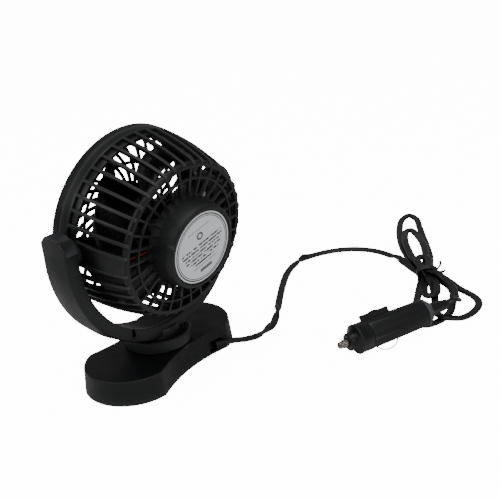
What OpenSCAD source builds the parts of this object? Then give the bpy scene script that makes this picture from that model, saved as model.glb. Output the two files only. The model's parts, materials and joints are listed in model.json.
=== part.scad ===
// Desk and dashboard fan on a swivelling yoke, with a flat twin cord and a 12 V socket plug.
// Origin: middle of the stand pad's underside. +X along the base, -Y the way the fan blows, +Z up.

/* [Base] */
// Radius of the base's two round ends, at the top
lobe_r = 32; // [28:1:36]
// Height of the base above the table
base_h = 19; // [17:1:22]
// Depth of the waist scooped out of each long side
waist_depth = 6.5; // [4:0.5:8]
// How much wider the base is at the bottom than at the top
draft = 1.5; // [0:0.5:2]
// Wall thickness of the base shell
wall = 2; // [1.6:0.2:2.4]
// Thickness of the stand pad
pad_t = 1; // [0.8:0.1:1.5]

/* [Swivel] */
// Radius of the turntable
turntable_r = 24; // [22:1:26]
// Height of the turntable's top
turntable_top = 28; // [26:1:30]
// Radius of the spindle that the yoke swivels on
spindle_r = 7; // [6:0.5:8]
// How far the yoke is turned, as made
pan = -8; // [-30:1:30]

/* [Yoke] */
// Inner radius of the yoke's bow
yoke_r = 68; // [67:1:70]
// Thickness of the bow
yoke_t = 9.5; // [8:0.5:11]
// Width of the bow, front to back
yoke_w = 25; // [20:1:28]
// Height of the bow's centre
yoke_z = 105; // [104:1:106]
// How far the yoke stands behind the swivel's axis
yoke_y = 2; // [0:0.5:3]

/* [Head] */
// Height of the tilt axis
pivot_z = 110; // [109:1:111]
// Tilt of the head, as made: negative lifts the front
tilt = -9; // [-20:1:10]
// Outer radius of the head
head_r = 63.6; // [62:0.2:64]
// Number of equal steps between side ribs in a full turn
side_steps = 39; // [35:2:43]
// Thickness of a side rib
rib_t = 2; // [1.6:0.2:2.4]
// Number of ribs on the rear face
rear_ribs = 30; // [24:2:36]
// Number of curved vanes in the front grille
front_vanes = 30; // [24:2:36]
// Number of fan blades
blades = 5; // [3:1:7]

/* [Cord and plug] */
// Width of the flat cord
cord_w = 6; // [5:0.1:6.4]
// Thickness of the flat cord
cord_t = 3.1; // [2.6:0.1:3.4]
// Radius of the plug's nose cap
plug_r = 11; // [10.5:0.1:11]

/* [Hidden] */
$fn = 96;
gap = 0.3;
run = 0.05;
black = [0.11, 0.11, 0.115];
black_soft = [0.08, 0.08, 0.08];
steel = [0.72, 0.72, 0.73];

// Base: two round ends, a straight middle and a waist of one large radius on each side
lobe_x = lobe_r;
waist_half = lobe_r * 1.2;
waist_r = (pow(waist_half, 2) + pow(waist_depth, 2)) / (2 * waist_depth);
waist_y = lobe_r - waist_depth;
top_t = 2.2;
plate_t = 1.8;
boss_z = 12;
screw_x = 38;
screw_y = 17;
switch_z = 10.4;
gland_at = [-27, 28.6, 7];
gland_turn = 152;
gland_len = 9;

// Turntable and yoke
edge_z = turntable_top - 1.5;
yoke_out = yoke_r + yoke_t;
lip = 3.5;
floor_step = 1.2;
arm_z = yoke_z + 9.5;
pin_r = 4;
boss_x = 66.2;
washer_t = 1;
foot_r = 17;

// Head, with its own y along the fan's axis from the tilt axis; the rear face is at +y
curve_r = 170;
curve_y = -16;
band_y = -5.2;
shroud_r = 58.6;
shroud_y = -0.3;
seam_y = -13;
front_y = -20;
ring_y = 40;
ring_r = 53.6;
shell_t = 3;
mid_r = 42.8;
hub_r = 31;
rim_r = 28;
rim_y = 55.4;
label_r = 25;
panel_half = 6.9;
sleeve_r = 20;
can_r = 17.9;
shaft_r = 1.5;
blade_r = 55.5;
hub_blade_r = 17;
side_pitch = 360 / side_steps;
grille_screw_r = 58;

// Plug, with its own x from the tip of the pin to the cord
plug_at = [-53.8, 115.4, 10.6];
plug_turn = 152;
plug_pitch = 1.8;
tail_r = 9.7;
nose_x = 8;
body_x = 25;
tail_x = 73;
collar_x = 79;
boot_x = 95;
contact_x = 37;
contact_half = 9;
contact_rise = 4.6;
contact_roll = 50;

// Cord routes, with the cord's middle 1.4 mm up where it lies on the table
tie_at = [-199, 117, 0];
tie_turn = 211;
tie_len = 7;
hank_len = 132;
lead_route = [
    [-34.2, 32.5, 6.6], [-41, 36.4, 5.5], [-50, 40.4, 2.9], [-60, 44.4, 1.7], [-70, 46.4, 1.7],
    [-79, 45.2, 1.7], [-88, 42, 1.7], [-99, 36.8, 1.7], [-110, 31.2, 1.7], [-121, 25.6, 1.7],
    [-132, 20.2, 1.7], [-143, 15, 1.7], [-155, 9.8, 1.7], [-167, 5.6, 1.7], [-180, 3.2, 1.7],
    [-193, 4, 1.7], [-204, 8, 1.7], [-214, 14.8, 1.7], [-222.5, 23.6, 1.7], [-228.5, 34, 1.7],
    [-231.4, 46, 1.7], [-231, 58, 1.7], [-227.6, 70, 1.7], [-222, 81, 1.7], [-214.6, 92, 1.7],
    [-206.5, 103, 1.7], [-201.2, 113.5, 1.7]
];
large_route = [
    [-191, 122.4, 4.9], [-184, 128, 3.1], [-174, 134, 1.7], [-162, 140, 1.7], [-150, 146.4, 1.7],
    [-140, 151.4, 3.6], [-134, 157, 4.9], [-136, 164, 3.6], [-143, 170, 1.7], [-152, 173.6, 1.7],
    [-162.4, 174, 1.7], [-171, 171.6, 1.7], [-178, 166, 1.7], [-183.4, 158, 1.7],
    [-188, 149, 1.7], [-192.6, 141, 3.1], [-197, 131, 4.9], [-199, 124, 4.9]
];
middle_route = [
    [-197, 112.6, 1.7], [-191, 115.2, 1.7], [-173.4, 121.4, 1.7], [-156.6, 127.4, 1.7],
    [-143, 132, 1.7], [-130, 137, 1.7], [-121.4, 143.4, 1.7], [-122.4, 151, 1.7],
    [-130, 156, 1.7], [-140, 158.6, 1.7], [-150.4, 157.8, 1.7], [-160, 155, 1.7],
    [-170, 151.4, 1.7], [-180, 147, 1.7], [-188, 141, 1.7], [-194, 133, 1.7], [-197.6, 124, 1.7]
];
small_route = [
    [-193, 118.6, 1.7], [-180, 123, 1.7], [-168, 129, 2.9], [-161.6, 135, 4.9],
    [-167, 138.4, 4.9], [-178, 134.6, 4.9], [-190, 127.4, 4.9], [-196, 121, 4.9]
];
tail_route = [
    [-137.4, 159.8, 13.6], [-144, 163.2, 15], [-151, 163.4, 11.4], [-157.6, 160.4, 7.9],
    [-164.6, 156, 5.2], [-173, 151.6, 5], [-183, 145, 5], [-190.4, 137, 5.2],
    [-195, 129, 8.1], [-198, 121.4, 8.3]
];

// ---- Shared shapes ----

// A solid of the base's hourglass outline, from z0 to z1, grown by g0 at z0 and g1 at z1
module hourglass(z0, z1, g0, g1) {
    h = z1 - z0;
    difference() {
        union() {
            for (side = [-1, 1])
                translate([side * lobe_x, 0, z0])
                    cylinder(h = h, r1 = lobe_r + g0, r2 = lobe_r + g1);
            rotate([90, 0, 90])
                linear_extrude(2 * lobe_x, center = true)
                    polygon([
                        [-lobe_r - g0, z0], [lobe_r + g0, z0],
                        [lobe_r + g1, z1], [-lobe_r - g1, z1]
                    ]);
        }
        for (side = [-1, 1])
            translate([0, side * (waist_y + waist_r), z0])
                cylinder(h = h, r1 = waist_r - g0, r2 = waist_r - g1, $fn = 200);
    }
}

// Turns a shape drawn as radius and y into the head's or the yoke's solid of revolution
module about_y(angle = 360) {
    rotate([-90, 0, 0])
        rotate_extrude(angle = angle)
            children();
}

module place_yoke() {
    rotate([0, 0, pan])
        children();
}

module place_head() {
    rotate([0, 0, pan])
        translate([0, yoke_y, pivot_z])
            rotate([tilt, 0, 0])
                children();
}

module place_plug() {
    translate(plug_at)
        rotate([0, -plug_pitch, plug_turn])
            children();
}

// A self-tapping screw with its head at the origin and its shank along +Z
module screw(head_r, head_h, shank_r, len) {
    difference() {
        union() {
            cylinder(h = head_h, r1 = head_r, r2 = head_r * 0.96, $fn = 48);
            translate([0, 0, head_h])
                cylinder(h = len - head_h - shank_r, r = shank_r, $fn = 32);
            translate([0, 0, len - shank_r])
                cylinder(h = shank_r, r1 = shank_r, r2 = shank_r * 0.3, $fn = 32);
        }
        for (turn = [0, 90])
            rotate(turn)
                cube([head_r * 1.2, head_r * 0.32, head_h], center = true);
    }
}

// One ring of a flat tube: eight corners about a point of the route
function direction(path, i) =
    let (a = path[max(i - 1, 0)], b = path[min(i + 1, len(path) - 1)]) (b - a) / norm(b - a);
function across(path, i) =
    let (d = direction(path, i), s = cross(d, [0, 0, 1])) s / norm(s);
function ring_points(path, i) =
    let (s = across(path, i), u = cross(s, direction(path, i)), k = 1 / cos(22.5))
    [
        for (j = [0:7])
            let (a = 22.5 + 45 * j)
            path[i] + s * cos(a) * k * cord_w / 2 + u * sin(a) * k * cord_t / 2
    ];

// A flat tube swept along the points of a route
module flat_tube(path) {
    n = len(path);
    points = [for (i = [0:n - 1]) each ring_points(path, i)];
    sides = [
        for (i = [0:n - 2], j = [0:7])
            [8 * i + j, 8 * i + (j + 1) % 8, 8 * i + 8 + (j + 1) % 8, 8 * i + 8 + j]
    ];
    first = [for (j = [7:-1:0]) j];
    last = [for (j = [0:7]) 8 * (n - 1) + j];
    polyhedron(points, concat([first, last], sides), convexity = 10);
}

// ---- Base ----

module base_shell() {
    color(black)
        difference() {
            union() {
                difference() {
                    hourglass(pad_t, base_h, draft, 0);
                    hourglass(pad_t - 1, base_h - top_t, draft - wall, -wall);
                }
                translate([0, 0, boss_z])
                    cylinder(h = base_h - boss_z - 0.5, r = spindle_r + 4);
                for (x = [-screw_x, screw_x], y = [-screw_y, screw_y])
                    translate([x, y, pad_t + plate_t])
                        cylinder(h = base_h - pad_t - plate_t - 1, r = 3, $fn = 48);
            }
            cylinder(h = base_h + 1, r = spindle_r + run);
            for (x = [-screw_x, screw_x], y = [-screw_y, screw_y])
                translate([x, y, 0])
                    cylinder(h = 12, r = 1.25, $fn = 32);
            translate([-7.8, -waist_y - 6, switch_z - 5.3])
                cube([15.6, 8, 10.6]);
            translate(gland_at)
                rotate([0, 0, 76])
                    translate([-4.5, -5.6, -4.1])
                        cube([14, 11.2, 8.2]);
            translate(gland_at)
                rotate([0, 90, gland_turn])
                    cylinder(h = gland_len + 6, r = 3.9, $fn = 48);
        }
}

module base_plate() {
    color(black_soft)
        difference() {
            hourglass(pad_t, pad_t + plate_t, draft - wall - gap, draft - wall - gap);
            for (x = [-screw_x, screw_x], y = [-screw_y, screw_y])
                translate([x, y, pad_t - 1]) {
                    cylinder(h = 5, r = 1.6, $fn = 32);
                    cylinder(h = 2, r = 3.2, $fn = 48);
                }
        }
}

module stand_pad() {
    color([0.16, 0.16, 0.16])
        difference() {
            hourglass(0, pad_t, -3.2, -3.2);
            for (x = [-screw_x, screw_x], y = [-screw_y, screw_y])
                translate([x, y, -1])
                    cylinder(h = 3, r = 3.6, $fn = 48);
        }
}

module base_screw(x, y) {
    color(steel)
        translate([x, y, pad_t + 0.05])
            screw(2.9, 0.9, 1.25, 9);
}

module switch_housing() {
    color(black_soft)
        translate([0, -waist_y, switch_z])
            difference() {
                union() {
                    translate([-7.6, -1, -5.1])
                        cube([15.2, 2.6, 10.2]);
                    translate([-6.4, 1, -4.4])
                        cube([12.8, 9, 8.8]);
                }
                translate([-5.6, -2, -3.5])
                    cube([11.2, 8.4, 7]);
                translate([0, 1.4, -4.6])
                    cylinder(h = 9.2, r = 0.8 + run, $fn = 32);
                translate([0, 1.4, 0])
                    cylinder(h = 7, r = 5.9, center = true);
            }
}

module switch_rocker() {
    color([0.05, 0.05, 0.05])
        translate([0, -waist_y + 1.4, switch_z])
            rotate([0, 0, -8]) {
                intersection() {
                    cylinder(h = 6.5, r = 5.4, center = true);
                    linear_extrude(6.5, center = true)
                        polygon([
                            [-5.4, -3.6], [0, -2.7], [5.4, -3.6], [5.4, 0],
                            [1.6, 2.4], [-1.6, 2.4], [-5.4, 0]
                        ]);
                }
                cylinder(h = 8.4, r = 0.8, center = true, $fn = 32);
            }
}

module cord_gland() {
    color(black_soft)
        union() {
            translate(gland_at)
                rotate([0, 0, 76])
                    translate([-4.4, -5.4, -3.9])
                        cube([5.2, 10.8, 7.8]);
            translate(gland_at)
                rotate([0, 90, gland_turn])
                    cylinder(h = gland_len - 1, r1 = 3.8, r2 = 3.4);
        }
}

// ---- Swivel and yoke ----

module turntable() {
    color(black)
        place_yoke()
            difference() {
                union() {
                    rotate_extrude()
                        difference() {
                            union() {
                                translate([0, base_h + gap])
                                    square([turntable_r, edge_z - base_h - gap]);
                                translate([0, edge_z])
                                    square([turntable_r - 1.5, 1.5]);
                                translate([turntable_r - 1.5, edge_z])
                                    intersection() {
                                        circle(1.5, $fn = 48);
                                        square(1.5);
                                    }
                            }
                            translate([spindle_r + 2.4, base_h - 1])
                                square([turntable_r - spindle_r - 4.8, 4]);
                        }
                    translate([0, 0, boss_z - 0.2])
                        cylinder(h = base_h - boss_z + 3, r = spindle_r);
                }
                translate([0, 0, boss_z - 1])
                    cylinder(h = 9, r = 1.4, $fn = 32);
                for (x = [-13, 13])
                    translate([x, 0, base_h])
                        cylinder(h = 12, r = 1.5, $fn = 32);
            }
}

// The bow's section: radius across, y along
module yoke_section() {
    polygon([
        [yoke_r, yoke_w / 2], [yoke_r, yoke_w / 2 - lip],
        [yoke_r + floor_step, yoke_w / 2 - lip - 0.8],
        [yoke_r + floor_step, -yoke_w / 2 + 1], [yoke_r + floor_step + 1, -yoke_w / 2],
        [yoke_out - 1.6, -yoke_w / 2], [yoke_out - 0.3, -yoke_w / 2 + 1.6],
        [yoke_out + 0.9, 0], [yoke_out - 0.2, yoke_w / 2 - 1], [yoke_out - 1, yoke_w / 2]
    ]);
}

module yoke_arm() {
    difference() {
        union() {
            intersection() {
                translate([0, 0, yoke_z])
                    linear_extrude(arm_z + yoke_w / 2 - yoke_z)
                        yoke_section();
                union() {
                    translate([yoke_r - 2, -yoke_w / 2, yoke_z])
                        cube([yoke_t + 5, yoke_w, arm_z - yoke_z]);
                    translate([yoke_r - 2, 0, arm_z])
                        rotate([0, 90, 0])
                            cylinder(h = yoke_t + 5, r = yoke_w / 2);
                }
            }
            translate([boss_x + washer_t + gap, 0, pivot_z])
                rotate([0, 90, 0])
                    cylinder(h = floor_step + 2, r = 8);
        }
        translate([boss_x, 0, pivot_z])
            rotate([0, 90, 0])
                cylinder(h = 8.8, r = pin_r + run);
    }
}

module yoke() {
    color(black)
        place_yoke()
            translate([0, yoke_y, 0])
                difference() {
                    union() {
                        translate([0, 0, yoke_z])
                            about_y(180)
                                yoke_section();
                        yoke_arm();
                        mirror([1, 0, 0])
                            yoke_arm();
                        translate([0, -yoke_y, turntable_top])
                            intersection() {
                                cylinder(h = 8, r = foot_r);
                                translate([-foot_r, -yoke_w / 2 + yoke_y, 0])
                                    cube([2 * foot_r, yoke_w, 8]);
                            }
                    }
                    translate([0, -yoke_y, turntable_top - 6])
                        cylinder(h = 6, r = turntable_r + 0.5);
                    for (x = [-13, 13])
                        translate([x, -yoke_y, turntable_top - 1])
                            cylinder(h = 6.5, r = 1.2, $fn = 32);
                    translate([33, yoke_w / 2 - 7, 42])
                        cube([2.4, 16, 6.4], center = true);
                }
}

module yoke_screw(side) {
    color(steel)
        place_yoke()
            translate([side * 13, 0, base_h + 1.4])
                screw(2.6, 1.6, 1.2, 11.8);
}

module pan_washer() {
    color(steel)
        place_yoke()
            translate([0, 0, boss_z - 1.6])
                difference() {
                    cylinder(h = 1.4, r = 10.4);
                    translate([0, 0, -1])
                        cylinder(h = 4, r = 1.6, $fn = 32);
                }
}

module pan_screw() {
    color(steel)
        place_yoke()
            translate([0, 0, boss_z - 3.4])
                screw(3.4, 1.8, 1.4, 9.2);
}

// ---- Tilt joint ----

module tilt_pin(side) {
    color(steel)
        place_head()
            rotate([0, side * 90, 0])
                translate([0, 0, 58.5])
                    cylinder(h = 16, r = pin_r);
}

module tilt_washer(side) {
    color([0.3, 0.3, 0.3])
        place_head()
            rotate([0, side * 90, 0])
                translate([0, 0, boss_x])
                    difference() {
                        cylinder(h = washer_t, r = 7.4);
                        translate([0, 0, -1])
                            cylinder(h = washer_t + 2, r = pin_r);
                    }
}

// ---- Head ----

// Outer radius of the side wall at y
function wall_r(y) = head_r - curve_r + sqrt(pow(curve_r, 2) - pow(y - curve_y, 2));

// The side wall's section between y0 and y1, in straight steps: inset from the surface, t thick
module wall_section(y0, y1, t, inset = 0, steps = 8) {
    levels = [for (i = [0:steps]) y0 + (y1 - y0) * i / steps];
    polygon(concat(
        [for (i = [0:steps]) [wall_r(levels[i]) - inset, levels[i]]],
        [for (i = [steps:-1:0]) [wall_r(levels[i]) - inset - t, levels[i]]]
    ));
}

module side_rib(angle) {
    rotate([0, -angle, 0])
        linear_extrude(rib_t, center = true)
            wall_section(band_y - 1.5, ring_y - 1.2, shell_t - 0.4, 0.3);
}

module side_panel(side) {
    rotate([0, (side > 0 ? 0 : 180) - panel_half, 0])
        about_y(2 * panel_half)
            wall_section(band_y - 1, ring_y - 1.6, shell_t - 1.2, 0.7);
    rotate([0, side * 90, 0])
        translate([0, 0, 59])
            cylinder(h = boss_x - 59, r = 8.2);
}

module rear_cage() {
    color(black)
        place_head()
            difference() {
                union() {
                    about_y()
                        wall_section(seam_y, band_y, shell_t, 0, 1);
                    about_y()
                        difference() {
                            translate([ring_r - 3.2, ring_y - 3.6])
                                square([3.4, 3.6]);
                            translate([ring_r + 0.9, ring_y + 0.7])
                                circle(1.5, $fn = 48);
                        }
                    about_y()
                        translate([shroud_r, seam_y + 0.3])
                            square([head_r - 2.2 - shroud_r, shroud_y - seam_y]);
                    about_y()
                        translate([mid_r - 0.8, ring_y - 2])
                            square([1.6, 2.8]);
                    for (k = [0:9], top = [0, 1], side = [-1, 1])
                        if (k > 0 || side > 0)
                            side_rib((top * 180) + 90 + side * k * side_pitch);
                    for (side = [-1, 1])
                        side_panel(side);
                    for (i = [0:rear_ribs - 1])
                        rotate([0, i * 360 / rear_ribs, 0])
                            translate([hub_r - 1.2, ring_y - 2.4, -0.8])
                                cube([ring_r - hub_r - 0.4, 2.2, 1.6]);
                    about_y()
                        polygon([
                            [0, rim_y - 3], [26.4, rim_y - 3], [hub_r - 2.2, ring_y + 1],
                            [hub_r - 2.2, ring_y - 4], [hub_r, ring_y - 4], [hub_r, ring_y + 1],
                            [rim_r + 0.9, rim_y - 1], [rim_r, rim_y], [label_r + 0.5, rim_y],
                            [label_r + 0.5, rim_y - 0.9], [0, rim_y - 0.9]
                        ]);
                    about_y()
                        translate([can_r, ring_y - 12])
                            square([sleeve_r - can_r, rim_y - ring_y + 10]);
                    for (a = [45:90:315])
                        rotate([0, a, 0])
                            translate([grille_screw_r, seam_y + 0.2, 0])
                                rotate([-90, 0, 0])
                                    cylinder(h = 5.4, r = 3.4, $fn = 48);
                }
                for (side = [-1, 1])
                    rotate([0, side * 90, 0])
                        translate([0, 0, 57])
                            cylinder(h = 12, r = pin_r);
                for (a = [45:90:315])
                    rotate([0, a, 0])
                        translate([grille_screw_r, seam_y - 1, 0])
                            rotate([-90, 0, 0])
                                cylinder(h = 4.2, r = 1, $fn = 32);
            }
}

// A vane of the front grille, curved from the middle disc out to the rim
module vane() {
    intersection() {
        difference() {
            circle(61.6);
            circle(21);
        }
        translate([1.8, 40.6])
            difference() {
                circle(46, $fn = 200);
                circle(44, $fn = 200);
            }
        translate([0, -5])
            square(70);
    }
}

module front_grille() {
    color(black)
        place_head()
            difference() {
                union() {
                    about_y()
                        difference() {
                            translate([head_r - 3.2, front_y])
                                square([3.2, seam_y - front_y - 0.1]);
                            difference() {
                                translate([head_r - 2, front_y - 1])
                                    square([3, 3]);
                                translate([head_r - 2, front_y + 2])
                                    circle(2, $fn = 48);
                            }
                        }
                    about_y()
                        translate([35.1, front_y + 0.6])
                            square([1.9, 1.6]);
                    about_y()
                        translate([head_r - 7.2, front_y + 0.25])
                            square([5, 2.3]);
                    about_y()
                        difference() {
                            translate([0, front_y - 1])
                                square([22.5, 3.6]);
                            translate([0, front_y - 2])
                                square([16.1, 2.2]);
                        }
                    rotate([-90, 0, 0])
                        translate([0, 0, front_y + 0.4])
                            linear_extrude(2)
                                for (i = [0:front_vanes - 1])
                                    rotate(i * 360 / front_vanes)
                                        vane();
                    for (a = [45:90:315])
                        rotate([0, a, 0])
                            translate([grille_screw_r, front_y + 0.2, 0])
                                rotate([-90, 0, 0])
                                    cylinder(h = seam_y - front_y - 0.5, r = 3.6, $fn = 48);
                }
                for (a = [45:90:315])
                    rotate([0, a, 0])
                        translate([grille_screw_r, front_y - 1, 0])
                            rotate([-90, 0, 0]) {
                                cylinder(h = 10, r = 1.3, $fn = 32);
                                cylinder(h = 3.1, r = 2.5, $fn = 48);
                            }
            }
}

module grille_cap() {
    color(black_soft)
        place_head()
            about_y()
                polygon([
                    [0, front_y + 0.2], [16, front_y + 0.2], [16, front_y - 1],
                    [14.5, front_y - 1.8], [8, front_y - 2.2], [0, front_y - 2.4]
                ]);
}

module grille_screw(angle) {
    color(steel)
        place_head()
            rotate([0, angle, 0])
                translate([grille_screw_r, front_y + 0.6, 0])
                    rotate([-90, 0, 0])
                        screw(2.3, 1.4, 1, 9.2);
}

module rear_label() {
    color([0.92, 0.92, 0.92])
        place_head()
            translate([0, rim_y - 0.9, 0])
                rotate([-90, 0, 0])
                    cylinder(h = 0.4, r = label_r);
}

// ---- Motor and blades ----

module motor_can() {
    color(steel)
        place_head()
            about_y()
                polygon([
                    [5.5, 22], [6.5, 22], [6.5, 25], [15.5, 25], [can_r, 27],
                    [can_r, 48], [can_r - 1, 48], [can_r - 1, 27.6], [15, 26.2], [5.5, 26.2]
                ]);
}

module motor_end_cap() {
    color(black_soft)
        place_head()
            about_y()
                polygon([
                    [0, 51], [8, 51], [8, 49.4], [can_r, 49.4], [can_r, 48], [4.2, 48],
                    [4.2, 46.4], [2.4, 46.4], [2.4, 49], [0, 49]
                ]);
}

module motor_bush() {
    color([0.7, 0.55, 0.25])
        place_head()
            about_y()
                translate([shaft_r + run, 21.4])
                    square([4 - run, 5]);
}

module motor_lead(turn) {
    place_head()
        rotate([0, turn, 0]) {
            translate([24, 35.2, 0])
                rotate([-90, 0, 0])
                    cylinder(h = 10, r = 0.7, $fn = 24);
            translate([24, 35.2, 0])
                sphere(0.7, $fn = 24);
            translate([24, 35.2, 0])
                rotate([0, 90, 0])
                    cylinder(h = 28, r = 0.7, $fn = 24);
            translate([52, 35.2, 0])
                sphere(0.7, $fn = 24);
            translate([52, 35.2, 0])
                rotate([90, 0, 0])
                    cylinder(h = 21, r = 0.7, $fn = 24);
        }
}

module motor_shaft() {
    color(steel)
        place_head()
            rotate([-90, 0, 0])
                translate([0, 0, -6])
                    cylinder(h = 52, r = shaft_r, $fn = 48);
}

module blade() {
    rotate([0, 90, 0])
        rotate([0, 0, 52])
            translate([-0.8, -11, hub_blade_r - 1.5])
                cube([1.6, 22, blade_r]);
}

module impeller() {
    color(black_soft)
        place_head()
            difference() {
                union() {
                    about_y()
                        polygon([
                            [0, -8], [12, -7.4], [16, -5], [17, -2], [17, 9], [15.4, 9],
                            [15.4, -3], [5, -5], [5, 10], [0, 10]
                        ]);
                    intersection() {
                        for (i = [0:blades - 1])
                            rotate([0, i * 360 / blades, 0])
                                blade();
                        rotate([-90, 0, 0])
                            translate([0, 0, -9])
                                cylinder(h = 24, r = blade_r);
                    }
                }
                rotate([-90, 0, 0])
                    translate([0, 0, -6])
                        cylinder(h = 20, r = shaft_r, $fn = 48);
            }
}

// ---- Cord ----

module cord_lead() {
    color(black)
        flat_tube(lead_route);
}

module cord_hank() {
    color(black)
        translate(tie_at)
            rotate([0, 0, tie_turn])
                linear_extrude(3 * cord_t + 0.4)
                    difference() {
                        hull() {
                            translate([10, 0])
                                circle(8.5, $fn = 32);
                            translate([hank_len - 44, 3.6])
                                circle(12.8, $fn = 32);
                            translate([hank_len, 1.4])
                                circle(7.6, $fn = 32);
                        }
                        hull() {
                            translate([36, 2])
                                circle(1.2, $fn = 32);
                            translate([hank_len - 40, 3.6])
                                circle(3, $fn = 32);
                        }
                    }
}

module cord_loop(path) {
    color(black)
        flat_tube(path);
}

module cord_tie() {
    color([0.04, 0.04, 0.04])
        translate(tie_at)
            rotate([0, 0, tie_turn])
                translate([-tie_len / 2, 0, 5.6])
                    rotate([0, 90, 0])
                        scale([0.66, 1, 1])
                            cylinder(h = tie_len, r = 8.3, $fn = 32);
}

// ---- Plug ----

module plug_body() {
    color(black)
        place_plug()
            difference() {
                union() {
                    translate([body_x, 0, 0])
                        rotate([0, 90, 0])
                            cylinder(h = tail_x - body_x, r1 = plug_r - 0.5, r2 = tail_r);
                }
                translate([body_x - 1, 0, 0])
                    rotate([0, 90, 0])
                        cylinder(h = 38, r = 4.2, $fn = 48);
                rotate([contact_roll, 0, 0])
                    for (side = [-1, 1])
                        translate([contact_x, side * 9, 0])
                            cube([2 * contact_half + 6, 11, 1.6], center = true);
            }
}

module plug_nose() {
    color(black_soft)
        place_plug()
            difference() {
                rotate([0, 90, 0])
                    rotate_extrude()
                        polygon([
                            [0, nose_x], [5.6, nose_x], [6.6, nose_x + 1], [6.6, nose_x + 2.6],
                            [plug_r - 0.4, nose_x + 5.6], [plug_r, nose_x + 6.4],
                            [plug_r - 0.4, body_x], [0, body_x]
                        ]);
                translate([nose_x - 1, 0, 0])
                    rotate([0, 90, 0])
                        cylinder(h = 8, r = 3.2 + run, $fn = 48);
                translate([nose_x + 5.6, 0, 0])
                    rotate([0, 90, 0])
                        cylinder(h = 14, r = 4.2, $fn = 48);
            }
}

module plug_collar() {
    color([0.3, 0.3, 0.3])
        place_plug()
            rotate([0, 90, 0])
                rotate_extrude()
                    polygon([
                        [0, tail_x], [tail_r + 0.3, tail_x], [tail_r + 0.3, tail_x + 2.4],
                        [tail_r - 2.6, collar_x], [0, collar_x]
                    ]);
}

module plug_boot() {
    color(black_soft)
        place_plug()
            rotate([0, 90, 0])
                translate([0, 0, collar_x])
                    cylinder(h = boot_x - collar_x, r1 = 5.6, r2 = 3.5);
}

module plug_pin() {
    color(steel)
        place_plug()
            rotate([0, 90, 0])
                rotate_extrude()
                    polygon([
                        [0, 0], [1.2, 0.2], [2.2, 0.9], [2.6, 2], [2.6, 4], [3.2, 4.6],
                        [3.2, nose_x + 5.8], [3.9, nose_x + 6.2], [3.9, nose_x + 7.4],
                        [0, nose_x + 7.4]
                    ]);
}

module pin_spring() {
    color(steel)
        place_plug()
            rotate([0, 90, 0])
                translate([0, 0, nose_x + 7.4])
                    difference() {
                        cylinder(h = 9, r = 3.4, $fn = 32);
                        translate([0, 0, -1])
                            cylinder(h = 11, r = 2.6, $fn = 32);
                    }
}

module plug_fuse() {
    color([0.75, 0.75, 0.72])
        place_plug()
            rotate([0, 90, 0])
                translate([0, 0, nose_x + 16.6])
                    cylinder(h = 30, r = 3, $fn = 32);
}

module side_contact(side) {
    bend_r = (pow(contact_half, 2) + pow(contact_rise, 2)) / (2 * contact_rise);
    half = asin(contact_half / bend_r);
    color(steel)
        place_plug()
            rotate([contact_roll, 0, 0])
                translate([contact_x, side * (plug_r - 0.8 + contact_rise - bend_r), 0])
                    rotate([0, 0, side > 0 ? 90 - half : 270 - half])
                        rotate_extrude(angle = 2 * half)
                            translate([bend_r, 0])
                                circle(0.45, $fn = 24);
}

base_shell();
base_plate();
stand_pad();
base_screw(-screw_x, -screw_y);  // base_screw_1
base_screw(screw_x, -screw_y);  // base_screw_2
base_screw(-screw_x, screw_y);  // base_screw_3
base_screw(screw_x, screw_y);  // base_screw_4
switch_housing();
switch_rocker();
cord_gland();
turntable();
yoke();
yoke_screw(-1);  // yoke_screw_1
yoke_screw(1);  // yoke_screw_2
pan_washer();
pan_screw();
tilt_pin(-1);  // tilt_pin_left
tilt_pin(1);  // tilt_pin_right
tilt_washer(-1);  // tilt_washer_left
tilt_washer(1);  // tilt_washer_right
rear_cage();
front_grille();
grille_cap();
grille_screw(45);  // grille_screw_1
grille_screw(135);  // grille_screw_2
grille_screw(225);  // grille_screw_3
grille_screw(315);  // grille_screw_4
rear_label();
motor_can();
motor_end_cap();
motor_bush();
color([0.6, 0.08, 0.06]) motor_lead(-2);  // motor_lead_red
color(black) motor_lead(2);  // motor_lead_black
motor_shaft();
impeller();
cord_lead();
cord_hank();
cord_loop(large_route);  // cord_loop_large
cord_loop(middle_route);  // cord_loop_middle
cord_loop(small_route);  // cord_loop_small
cord_loop(tail_route);  // cord_tail
cord_tie();
plug_body();
plug_nose();
plug_collar();
plug_boot();
plug_pin();
pin_spring();
plug_fuse();
side_contact(-1);  // side_contact_left
side_contact(1);  // side_contact_right
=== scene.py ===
"""Looks for a small 12 V dashboard fan: a class for each sub-assembly, and its finishes.

Lengths are in millimetres until a mesh is made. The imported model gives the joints' places.
"""

from __future__ import annotations

import json
import logging
import math
from dataclasses import dataclass, field
from enum import Enum

import bmesh
import bpy
import numpy as np
from mathutils import Matrix


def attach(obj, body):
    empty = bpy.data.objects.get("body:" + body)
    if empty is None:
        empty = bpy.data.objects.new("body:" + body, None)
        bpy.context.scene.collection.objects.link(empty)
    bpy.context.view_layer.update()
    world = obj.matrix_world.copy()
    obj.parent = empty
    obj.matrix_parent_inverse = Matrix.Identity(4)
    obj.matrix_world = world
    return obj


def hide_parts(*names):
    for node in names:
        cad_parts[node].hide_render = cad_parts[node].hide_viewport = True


log = logging.getLogger("fan")

MM = 0.001

BASE_H = 19.0

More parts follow.
